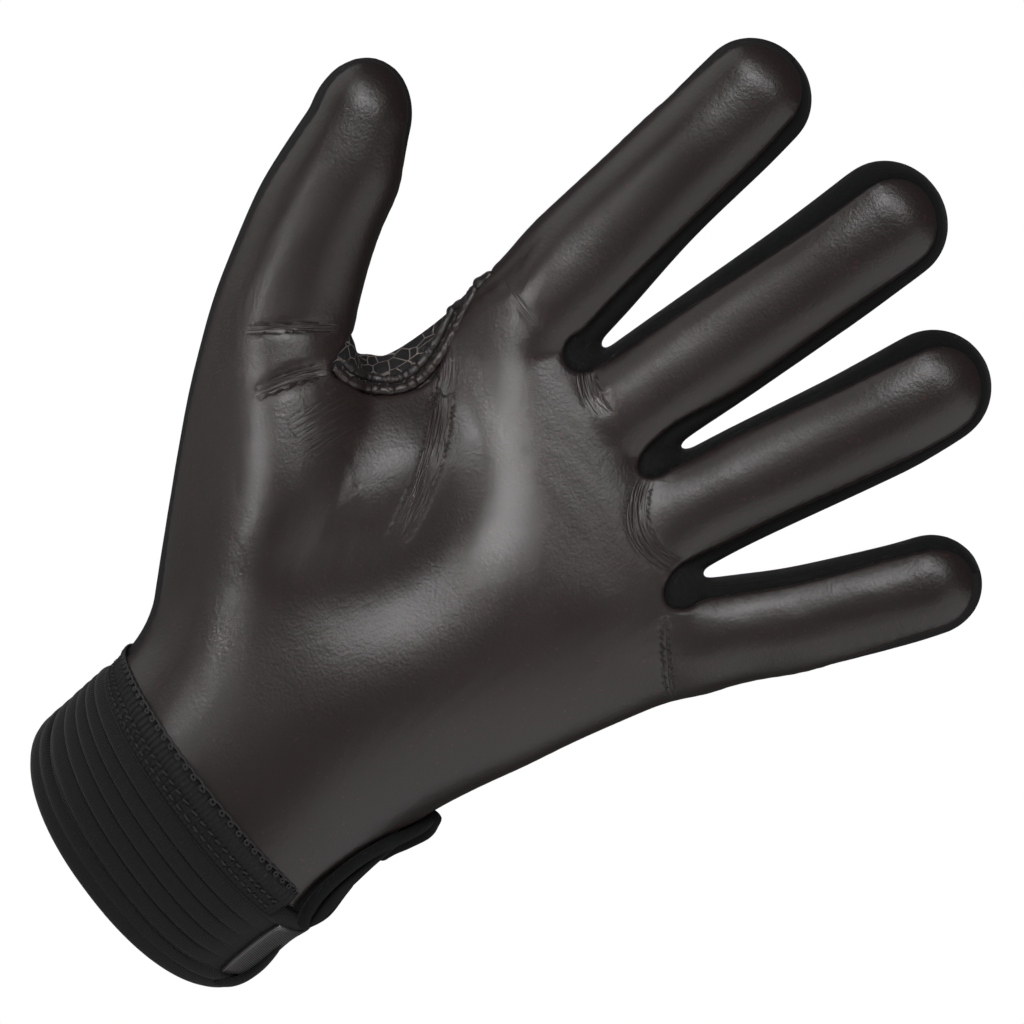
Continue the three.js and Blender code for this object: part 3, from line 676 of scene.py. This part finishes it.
# ---- finishes ----
WRIST_RADIUS, WRIST_MIDDLE = 0.031, 0.001  # of the cuff, for patterns round it, and its middle's y


class Value:
    """A shader socket, for sums that are written as expressions."""

    def __init__(self, finish, socket):
        self.finish = finish
        self.socket = socket

    def maths(self, operation, *others):
        return self.finish.node("ShaderNodeMath", dict(enumerate((self,) + others)), operation=operation)

    def __add__(self, other):
        return self.maths("ADD", other)

    def __sub__(self, other):
        return self.maths("SUBTRACT", other)

    def __mul__(self, other):
        return self.maths("MULTIPLY", other)

    def __rsub__(self, other):
        return (self * -1) + other

    __radd__ = __add__
    __rmul__ = __mul__

    def size(self):
        return self.maths("ABSOLUTE")

    def waves(self, pitch):
        """Even ridges, from -1 to 1, at this pitch in metres."""
        return (self * (2 * math.pi / pitch)).maths("SINE")

    def step(self, low, high):
        """Smoothly from 0 at low to 1 at high."""
        limits = {"Value": self, "From Min": low, "From Max": high}
        return self.finish.node("ShaderNodeMapRange", limits, interpolation_type="SMOOTHSTEP")


class Finish:
    """A material. Its nodes are made by one method, and its values are sums of sockets."""

    def __init__(self, name, slot):
        self.slot = slot
        self.material = bpy.data.materials.new(name)
        self.material.use_nodes = True
        self.tree = self.material.node_tree
        self.shader = self.tree.nodes["Principled BSDF"]

    def node(self, kind, sockets, output=0, **settings):
        made = self.tree.nodes.new(kind)
        for key, value in settings.items():
            setattr(made, key, value)
        for key, value in sockets.items():
            self.feed(made.inputs[key], value)
        return Value(self, made.outputs[output])

    def feed(self, socket, value):
        if isinstance(value, Value):
            self.tree.links.new(value.socket, socket)
        else:
            socket.default_value = value

    def set(self, **sockets):
        """Feeds the shader's sockets, whose names have _ for their spaces."""
        for key, value in sockets.items():
            self.feed(self.shader.inputs[key.replace("_", " ")], value)

    def place(self):
        return self.node("ShaderNodeTexCoord", {}, output="Object")

    def attribute(self, name):
        return self.node("ShaderNodeAttribute", {}, output="Fac", attribute_name=name)

    def split(self, vector):
        self.node("ShaderNodeSeparateXYZ", {0: vector})
        return [Value(self, part) for part in self.tree.nodes[-1].outputs]  # of the node just made

    def join(self, x, y, z):
        return self.node("ShaderNodeCombineXYZ", {0: x, 1: y, 2: z})

    def round_wrist(self, x, y):
        """The way round the wrist in metres."""
        return x.maths("ARCTAN2", (y - WRIST_MIDDLE) * -1) * WRIST_RADIUS

    def noise(self, vector, scale, detail=2.0, roughness=0.5):
        sockets = {"Vector": vector, "Scale": scale, "Detail": detail, "Roughness": roughness}
        return self.node("ShaderNodeTexNoise", sockets)

    def mix(self, share, a, b):
        """A colour between two, of which each is three numbers or a socket."""
        a, b = ((*color, 1) if isinstance(color, tuple) else color for color in (a, b))
        return self.node("ShaderNodeMix", {0: share, 6: a, 7: b}, output=2, data_type="RGBA")

    def bump(self, height, distance, strength):
        return self.node("ShaderNodeBump", {"Height": height, "Distance": distance, "Strength": strength})


def crease_lines(finish):
    """The fine lines of the creases, from 0 to their depth in millimetres."""
    place = finish.join(finish.attribute("along"), finish.attribute("across"), 0.0)
    line = 1 - (finish.noise(place, 1.0, 1.0) - 0.5).size().step(0.0, 0.12)
    return line * finish.attribute("crease")


def coated_palm():
    finish = Finish("coated_palm", "coated_palm")
    place = finish.place()
    grain = finish.noise(place, 1500, 1, 0.6)
    pores = finish.noise(place, 420, 1)
    slow = finish.noise(place, 30)
    specks = finish.noise(place, 1300, 0).step(0.76, 0.82)
    color = finish.mix(slow.step(0.3, 0.7), (0.0150, 0.0100, 0.0095), (0.0185, 0.0125, 0.0118))
    color = finish.mix(specks, color, (0.045, 0.017, 0.014))
    height = grain * 0.075 + pores * 0.06 - crease_lines(finish)
    finish.set(
        Base_Color=color,
        Roughness=0.33 + grain * 0.06,
        Normal=finish.bump(height, 0.001, 0.8),
    )
    return finish


def black_knit(finish, height):
    finish.set(
        Base_Color=(0.0036, 0.0038, 0.004, 1), Roughness=0.9,
        Normal=finish.bump(height, 0.00012, 0.6),
        Specular_IOR_Level=0.2, Sheen_Weight=0.05, Sheen_Roughness=0.5,
    )
    return finish


def knit():
    finish = Finish("knit", "knit")
    place = finish.place()
    _, y, _ = finish.split(place)
    rib = (y + finish.noise(place, 160) * 0.0006).waves(0.0007)
    return black_knit(finish, rib * 0.35 + finish.noise(place, 1800))


def bound_knit():
    """The knit of the slit's binding, woven fine enough to look plain."""
    finish = Finish("knit_binding", "knit")
    place = finish.place()
    x, _, z = finish.split(place)
    return black_knit(finish, (z + x * 0.3).waves(0.0006) * 0.15 + finish.noise(place, 1500))


def web_binding():
    """The thin coated strip that binds the web beside the palm."""
    finish = Finish("web_binding", "knit")
    grain = finish.noise(finish.place(), 1500, 1)
    finish.set(
        Base_Color=(0.019, 0.0155, 0.0148, 1), Roughness=0.42,
        Normal=finish.bump(grain, 0.0001, 0.8),
    )
    return finish


def net():
    finish = Finish("net_fabric", "net_fabric")
    place = finish.place()
    x, y, z = finish.split(place)
    wander = finish.noise(place, 220, 1)
    stretched = finish.join(x * 1.35 + wander * 0.0012, y * 1.1, z * 0.8)
    cells = finish.node(
        "ShaderNodeTexVoronoi", {"Vector": stretched, "Scale": 330, "Randomness": 0.85},
        feature="DISTANCE_TO_EDGE",
    )
    line = (1 - cells.step(0.02, 0.055)) * finish.attribute("net")
    fine = finish.noise(place, 1800)
    finish.set(
        Base_Color=finish.mix(line, (0.009, 0.0092, 0.0095), (0.16, 0.135, 0.12)),
        Roughness=0.8, Specular_IOR_Level=0.3,
        Normal=finish.bump(line * 1.5 + fine, 0.0001, 0.6),
    )
    return finish


def elastic():
    finish = Finish("elastic", "elastic")
    place = finish.place()
    x, y, z = finish.split(place)
    wale = finish.round_wrist(x, y).waves(0.0006)
    course = (z + finish.noise(place, 90) * 0.0004).waves(0.0005)
    fuzz = finish.noise(place, 1900)
    finish.set(
        Base_Color=(0.0072, 0.0072, 0.0072, 1), Roughness=0.9,
        Normal=finish.bump(wale * 0.35 + course * 0.12 + fuzz, 0.00012, 0.7),
        Specular_IOR_Level=0.3, Sheen_Weight=0.12, Sheen_Roughness=0.5,
    )
    return finish


def tape():
    finish = Finish("seam_tape", "seam_tape")
    place = finish.place()
    x, y, _ = finish.split(place)
    cross = (finish.round_wrist(x, y) + finish.noise(place, 300) * 0.0009).waves(0.0012)
    fuzz = finish.noise(place, 1700)
    finish.set(
        Base_Color=(0.0095, 0.0088, 0.0088, 1), Roughness=0.75,
        Normal=finish.bump(cross * 1.3 + fuzz, 0.0003, 0.9),
        Specular_IOR_Level=0.35,
    )
    return finish


def thread():
    finish = Finish("thread", "seam_tape")
    place = finish.place()
    finish.set(
        Base_Color=(0.012, 0.0115, 0.0115, 1), Roughness=0.65,
        Normal=finish.bump(finish.noise(place, 2500, 1), 0.0001, 0.6),
    )
    return finish


def satin():
    finish = Finish("satin", "satin")
    place = finish.place()
    _, _, z = finish.split(place)
    weave = (z + finish.noise(place, 120) * 0.0003).waves(0.0004)
    finish.set(
        Base_Color=(0.05, 0.047, 0.048, 1), Roughness=0.26 + weave * 0.03, Specular_IOR_Level=1.0,
        Normal=finish.bump(weave, 0.00003, 0.4),
    )
    return finish


FINISHES = {
    "palm": coated_palm(),
    "knit": knit(),
    "binding": bound_knit(),
    "net": net(),
    "web": web_binding(),
    "elastic": elastic(),
    "tape": tape(),
    "thread": thread(),
    "satin": satin(),
}


def finish_piece(bm, name, finish, *nodes, wall=0.0):
    """Turns a form in millimetres into a finished piece of the glove."""
    bmesh.ops.translate(bm, vec=(0, OPENING_SHIFT, 0), verts=bm.verts)
    bmesh.ops.scale(bm, vec=(MM, MM, MM), verts=bm.verts)
    mesh = bpy.data.meshes.new(name)
    bm.to_mesh(mesh)
    bm.free()
    mesh.shade_smooth()
    piece = bpy.data.objects.new(name, mesh)
    bpy.context.scene.collection.objects.link(piece)
    mesh.materials.append(FINISHES[finish].material)
    if wall:
        thickness = piece.modifiers.new("wall", "SOLIDIFY")
        thickness.thickness = wall * MM
        thickness.offset = -1
    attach(piece, "root")
    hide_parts(*nodes)
    return piece


def raise_panel(bm, height):
    """Moves a panel outwards by a height that depends on the vertex."""
    bm.normal_update()
    normals = [vert.normal.copy() for vert in bm.verts]
    for vert, normal in zip(bm.verts, normals):
        vert.co += normal * height(vert)


def tuck_in(bm, depth):
    """Moves a panel's edge along the palm's seam inwards."""
    seam = bm.verts.layers.float["seam"]
    raise_panel(bm, lambda vert: 0.1 - depth * math.exp(-((vert[seam] / 0.9) ** 2)))


def flat_share(vert):
    """1 where a surface faces the palm side, and less round its edges."""
    return 0.25 + 0.75 * max(0.0, -vert.normal.y)


def make_palm():
    bm = panels["palm_panel"]
    seam, run = bm.verts.layers.float["seam"], bm.verts.layers.float["run"]

    def height(vert):
        share = min(vert[seam] / 1.4, 1.0)
        round_edge = math.sqrt(max(0.0, 1 - (1 - share) ** 2))
        pucker = 0.06 * math.sin(vert[run] * 2 * math.pi / 3.1) * math.exp(-vert[seam] / 1.5)
        return -0.7 + (PALM_RISE * flat_share(vert) + 0.7) * round_edge + pucker

    raise_panel(bm, height)
    x, _, z = np.array([vert.co for vert in bm.verts]).T
    for key, numbers in zip(("crease", "across", "along"), crease_values(x, z)):
        write_values(bm, key, numbers)
    finish_piece(bm, "glove_palm", "palm", "palm_panel", wall=1.6)


def make_sidewalls():
    for name in SIDEWALLS:
        bm = panels[name]
        tuck_in(bm, 0.9)
        finish_piece(bm, "glove_" + name, "knit", name, wall=1.2)


NET_FROM = 5.0  # the net starts this far behind the palm's seam, and at once in the web
WEB_BOX = ((-60, -34), (86, 132))  # x and z of the web between thumb and index finger


def make_back():
    bm = panels["back_panel"]
    seam = bm.verts.layers.float["seam"]
    net = bm.verts.layers.float.new("net")
    (left, right), (low, high) = WEB_BOX
    for vert in bm.verts:
        in_web = left < vert.co.x < right and low < vert.co.z < high
        vert[net] = 1.0 if in_web else min(max(-vert[seam] - NET_FROM, 0.0), 1.0)
    tuck_in(bm, 0.7)
    finish_piece(bm, "glove_back", "net", "back_panel", wall=1.2)


hand = make_hand()
panels = split_hand(hand)
make_palm()
make_sidewalls()
make_back()

# ---- web seam ----
WEB_LINE = [(-53.6, 91.6), (-49.6, 92.0), (-44.6, 94.9), (-41.0, 99.2), (-39.8, 104.0), (-40.6, 109.2),
            (-42.6, 115.0), (-45.0, 120.4), (-47.6, 126.5), (-49.4, 130.6)]
ROLL_STEP = 0.3


def surface_line(line):
    """Points and outward normals of the hand under a line of x and z, both smoothed."""
    tree = BVHTree.FromPolygons([v.co for v in hand.vertices], [p.vertices for p in hand.polygons])
    middle, outward = [], []
    for x, z in line:
        hit, normal, _, _ = tree.ray_cast(Vector((x, -80, z)), Vector((0, 1, 0)))
        if hit is None:
            hit, normal, _, _ = tree.find_nearest(Vector((x, -6, z)))
        middle.append(hit)
        outward.append(normal)
    middle, outward = np.array(middle), np.array(outward)
    for _ in range(12):
        middle[1:-1] = (middle[:-2] + middle[1:-1] * 2 + middle[2:]) / 4
        outward[1:-1] = (outward[:-2] + outward[1:-1] * 2 + outward[2:]) / 4
    return middle, outward / np.linalg.norm(outward, axis=1)[:, None]


def make_web_roll(name, node, finish, shift, wide, high, lift, pucker):
    """A puckered roll of the web's seam. shift moves it sideways, away from the palm."""
    line = even_path(WEB_LINE, ROLL_STEP)
    along = np.gradient(line, axis=0)
    along /= np.linalg.norm(along, axis=1)[:, None]
    line = line + np.stack([-along[:, 1], along[:, 0]], axis=1) * shift
    middle, outward = surface_line(line)
    run = np.arange(len(middle)) * ROLL_STEP
    wave = np.sin(run * 2 * math.pi / 2.6 + 0.8 * np.sin(run * 0.7)) + 0.5 * np.sin(run * 3.7 + shift)
    middle += outward * (lift + pucker * 0.5 * wave)[:, None]
    swell = (1 + pucker * wave) * rounded(len(middle), 0.04)
    bm = bmesh.new()
    skin(bm, roll_rings(middle, outward, wide * swell, high * swell))
    finish_piece(bm, name, finish, node)


make_web_roll("glove_web_roll_outer", "web_seam_outer", "palm", 0.3, 1.1, 0.95, 0.30, 0.10)
make_web_roll("glove_web_roll_inner", "web_seam_inner", "web", 2.6, 1.0, 0.9, 0.20, 0.10)

# ---- slit ----
# Angle round the wrist, height, lift and half width along each part of the slit's binding
SLIT_LIP = [(97, 49.2, 1.0, 1.2), (91, 46.5, 1.6, 1.4), (80, 42.0, 1.7, 1.4), (70, 37.0, 1.7, 1.5),
            (63, 32.0, 1.7, 1.5), (59, 27.0, 1.8, 1.5), (57, 22.5, 2.1, 1.5), (58, 19.4, 2.3, 1.4),
            (62, 17.6, 2.4, 1.3), (68, 17.0, 2.3, 1.0)]
SLIT_LEAF = [(98, 46.0, 0.4, 0.8), (90, 41.0, 0.9, 1.5), (80, 36.0, 1.2, 1.8), (73, 30.5, 1.4, 2.0),
             (69, 26.0, 1.7, 2.4), (68, 22.0, 2.0, 2.4), (68, 19.4, 2.1, 2.0), (69, 17.6, 1.9, 1.2)]
SLIT_FLAP = [(93, 49.6, 0.2, 1.2), (96, 47.6, 1.6, 1.6), (99, 45.0, 2.9, 1.8), (99, 41.4, 2.3, 1.8),
             (96, 37.6, 0.8, 1.6), (94, 33.5, -0.4, 1.2)]
SLIT_BACK = [(84, 28.0, 0.0, 0.8), (86, 24.0, 0.1, 1.4), (87, 19.5, 0.4, 1.7), (86, 15.5, -0.1, 1.5),
             (83, 12.0, -0.3, 1.0)]
# The rolled edge that runs down beside the strap to the cuff's binding
CUFF_CORNER = [(78, 11.5, 0.6, 0.7), (79, 9.0, 1.4, 0.9), (79, 6.0, 1.9, 1.0), (76, 3.0, 2.0, 1.0),
               (70, 0.9, 1.9, 1.0), (62, -0.2, 1.4, 0.9)]


def slit_roll(bm, rows, high, around=16):
    angles, heights, lifts, widths = even_path(rows, 0.35).T
    middle, outward = wrist_line(heights, np.radians(angles), lifts)
    ends = rounded(len(angles), 0.1)
    skin(bm, roll_rings(middle, outward, widths * ends, high * ends, around))


# ---- cuff ----
RIB_LINES = (14.2, 11.8, 9.5, 7.1, 4.6, 2.0)  # heights of the grooves between the cuff's ribs
RIB_RISE = 1.05
CUFF_TOP, CUFF_END = 17.0, -1.6
CUFF_WALL = 1.8
RIBS_FADE = (34, 18)  # degrees from the slit's side where the ribs flatten, and over how many


def rib_share(angles):
    """How full the ribs are round the wrist: they flatten near the slit."""
    away = np.abs((np.degrees(angles) % 360 - 90 + 180) % 360 - 180)
    return np.clip((away - RIBS_FADE[0]) / RIBS_FADE[1], 0.12, 1)


def make_cuff():
    """The ribbed tube of the cuff, with its wall."""
    angles = full_turn(240)
    profile = [(CUFF_TOP, 0.0), (14.8, 0.3), (14.5, 0.55), (14.3, 0.3)]
    for high, low in zip(RIB_LINES, RIB_LINES[1:]):
        for t in np.arange(0, 1, 0.1):
            full = math.sin(math.pi * t**1.5) ** 0.55
            profile.append((high + (low - high) * t, 0.1 + RIB_RISE * full * rib_share(angles)))
    profile += [(RIB_LINES[-1], 0.1), (CUFF_END, 0.1), (CUFF_END, -CUFF_WALL)]
    profile += [(z, -CUFF_WALL) for z in np.linspace(0, CUFF_TOP, 8)]
    profile.append(profile[0])
    bm = bmesh.new()
    skin(bm, wrist_rings(profile, angles))
    bmesh.ops.recalc_face_normals(bm, faces=bm.faces)
    finish_piece(bm, "glove_cuff", "elastic", "cuff_band")


def make_cuff_binding():
    """A binding folded over the cuff's edge, with a groove along its middle."""
    rows = [(1.5, 0.1), (1.45, 0.75), (1.1, 1.15), (0.5, 1.3), (0.0, 1.05), (-0.2, 0.85), (-0.4, 0.9),
            (-0.8, 1.2), (-1.5, 1.35), (-2.2, 1.2), (-2.75, 0.7), (-2.95, 0.0), (-2.95, -0.9),
            (-2.8, -1.8), (-2.2, -2.5), (-1.0, -2.7), (0.6, -2.6), (1.2, -2.1), (1.3, -1.0)]
    bm = bmesh.new()
    skin(bm, wrist_rings(rows + rows[:1], full_turn(240)))
    slit_roll(bm, CUFF_CORNER, 1.0)
    bmesh.ops.recalc_face_normals(bm, faces=bm.faces)
    finish_piece(bm, "glove_cuff_binding", "elastic", "cuff_binding")


TAPE_FROM, TAPE_TO = 88, 410  # degrees round the wrist, from one side of the slit to the other


def tape_share(angles):
    """The tape lies flatter where it is pulled round the two sides of the wrist."""
    return 0.35 + 0.65 * np.cos(angles) ** 2


def stitch(bm, middle, outward, radius):
    size = radius * rounded(len(middle), 0.06)
    skin(bm, roll_rings(middle, outward, size, size, around=6))


def make_tape():
    """The seam tape between palm and cuff."""
    angles = np.radians(np.linspace(TAPE_FROM, TAPE_TO, 260))
    rows = [(20.9, 0.2), (20.85, 1.2), (20.5, 1.5), (20.0, 1.55), (19.4, 1.75), (18.4, 1.85),
            (17.7, 1.7), (17.3, 1.4), (17.0, 1.2), (16.7, 1.3), (16.3, 1.35), (15.9, 1.15),
            (15.6, 1.05), (15.3, 1.2), (14.9, 1.15), (14.7, 0.9), (14.6, 0.2)]
    bm = bmesh.new()
    skin(bm, wrist_rings([(z, rise * tape_share(angles)) for z, rise in rows + rows[:1]], angles))
    bmesh.ops.holes_fill(bm, edges=bm.edges)
    bmesh.ops.recalc_face_normals(bm, faces=bm.faces)
    finish_piece(bm, "glove_wrist_tape", "tape", "wrist_tape")


LOOPS, LOOP_HEIGHT, LOOP_RISE = 78, 20.6, 1.85
# The two rows of stitches: height, rise and slant, and the degrees from stitch to stitch and of one
STITCH_ROWS = ((17.05, 1.45, 0.35), (15.65, 1.2, 0.0))
STITCH_PITCH, STITCH_TURN = 3.6, 2.6


def make_tape_loops():
    """The looped thread along the tape's upper edge."""
    turn = np.linspace(0, 1, 1400)
    phase = turn * LOOPS * 2 * math.pi
    pitch = math.radians(TAPE_TO - TAPE_FROM) / LOOPS
    angles = np.radians(TAPE_FROM + 1 + (TAPE_TO - TAPE_FROM - 2) * turn) + 0.42 * pitch * np.sin(phase)
    bm = bmesh.new()
    line = wrist_line(LOOP_HEIGHT + 0.5 * np.cos(phase), angles, LOOP_RISE * tape_share(angles))
    stitch(bm, *line, 0.3)
    finish_piece(bm, "glove_tape_loops", "thread")


def make_tape_stitches():
    bm = bmesh.new()
    for height, rise, slant in STITCH_ROWS:
        for start in np.arange(TAPE_FROM + 1.5, TAPE_TO - 4, STITCH_PITCH):
            t = np.linspace(0, 1, 7)
            angles = np.radians(start + STITCH_TURN * t)
            bow = (rise + 0.25 * np.sin(math.pi * t)) * tape_share(angles)
            stitch(bm, *wrist_line(height + slant * (t - 0.5), angles, bow), 0.26)
    finish_piece(bm, "glove_tape_stitches", "thread")


def make_slit():
    bm = bmesh.new()
    slit_roll(bm, SLIT_LEAF, 0.9, 24)
    slit_roll(bm, SLIT_LIP, 1.25)
    slit_roll(bm, SLIT_FLAP, 2.4)
    slit_roll(bm, SLIT_BACK, 0.9)
    finish_piece(bm, "glove_slit_binding", "binding", "vent_binding")


# ---- strap ----
STRAP_FROM, STRAP_TO = 60, 222  # degrees round the wrist
STRAP_LOW, STRAP_HIGH = 2.4, 14.6
STRAP_RISE, STRAP_THICK = 1.15, 0.8


def make_strap():
    """The closing strap: a flat satin band from below the slit round the back of the cuff."""
    angles = np.radians(np.linspace(STRAP_FROM, STRAP_TO, 160))
    rows = []
    for t in np.linspace(0, 1, 13):
        rise = STRAP_RISE + 0.2 * math.sin(math.pi * t) ** 0.4
        rows.append((STRAP_HIGH + (STRAP_LOW - STRAP_HIGH) * t, rise))
    rows += [(z, rise - STRAP_THICK) for z, rise in reversed(rows)]
    bm = bmesh.new()
    skin(bm, wrist_rings(rows + rows[:1], angles))
    bmesh.ops.holes_fill(bm, edges=bm.edges)
    bmesh.ops.recalc_face_normals(bm, faces=bm.faces)
    around = wrist_point((STRAP_LOW + STRAP_HIGH) / 2, angles, 1.2)  # its middle line
    strap = finish_piece(bm, "glove_strap", "satin", "wrist_strap")


make_cuff()
make_cuff_binding()
make_tape()
make_tape_loops()
make_tape_stitches()
make_slit()
make_strap()

# ---- light ----
MIDDLE_OF_HAND = (-0.0065, -0.0085, 0.10)
PALM_OF_HAND = (0.012, -0.02, 0.096)
ROOT_OF_INDEX = (-0.045, -0.02, 0.112)
# Lights round the camera: name, place, what it points at, size, watts, spread of its grid in degrees
BOXES = [
    ("upper_left", (-0.50, -1.14, 0.56), MIDDLE_OF_HAND, (0.28, 0.28), 4.8, 180),
    ("thumb_light", (-0.225, -0.79, -0.29), ROOT_OF_INDEX, (0.10, 0.10), 0.012, 12),
    ("palm_light", (-0.53, -0.96, -0.08), PALM_OF_HAND, (0.10, 0.10), 0.017, 8),
    ("upper_box", (-0.80, -0.83, 0.58), MIDDLE_OF_HAND, (0.30, 0.30), 2.0, 180),
    ("top_box", (-0.11, -1.05, 0.75), MIDDLE_OF_HAND, (0.35, 0.25), 2.2, 180),
    ("left_wall", (-1.1, -0.05, 0.10), MIDDLE_OF_HAND, (1.0, 1.2), 4.0, 180),
    ("right_wall", (1.0, -0.42, 0.10), MIDDLE_OF_HAND, (1.5, 1.7), 8.0, 180),
]


def soft_box(name, place, target, size, watts, spread):
    data = bpy.data.lights.new(name, "AREA")
    data.shape = "RECTANGLE"
    data.size, data.size_y = size
    data.energy = watts
    data.spread = math.radians(spread)
    light = bpy.data.objects.new(name, data)
    bpy.context.scene.collection.objects.link(light)
    way = Vector(place) - Vector(target)
    light.matrix_world = Matrix.Translation(place) @ way.to_track_quat("Z", "Y").to_matrix().to_4x4()
    light.visible_camera = False


GROUND_LIGHT = 0.05  # how much of the ground's white lights the glove


def make_studio():
    """A white ground that hardly lights the glove, the lights and the floor."""
    world = bpy.data.worlds.new("studio")
    bpy.context.scene.world = world
    world.use_nodes = True
    nodes, links = world.node_tree.nodes, world.node_tree.links
    ground = nodes["Background"]
    ground.inputs["Color"].default_value = (1, 1, 1, 1)
    path = nodes.new("ShaderNodeLightPath")
    strength = nodes.new("ShaderNodeMapRange")
    strength.inputs["To Min"].default_value = GROUND_LIGHT
    strength.inputs["To Max"].default_value = 1.0
    links.new(path.outputs["Is Camera Ray"], strength.inputs["Value"])
    links.new(strength.outputs[0], ground.inputs["Strength"])
    for box in BOXES:
        soft_box(*box)

    bm = bmesh.new()
    bmesh.ops.create_circle(bm, cap_ends=True, segments=96, radius=1.3)
    bmesh.ops.translate(bm, vec=(0, 0, -0.45), verts=bm.verts)
    mesh = bpy.data.meshes.new("floor")
    bm.to_mesh(mesh)
    bm.free()
    floor = bpy.data.objects.new("floor", mesh)
    bpy.context.scene.collection.objects.link(floor)
    pale = bpy.data.materials.new("pale_floor")
    pale.use_nodes = True
    surface = pale.node_tree.nodes["Principled BSDF"].inputs
    surface["Base Color"].default_value = (0.8, 0.8, 0.8, 1)
    surface["Roughness"].default_value = 0.9
    mesh.materials.append(pale)
    bpy.context.scene.view_settings.view_transform = "Standard"


make_studio()
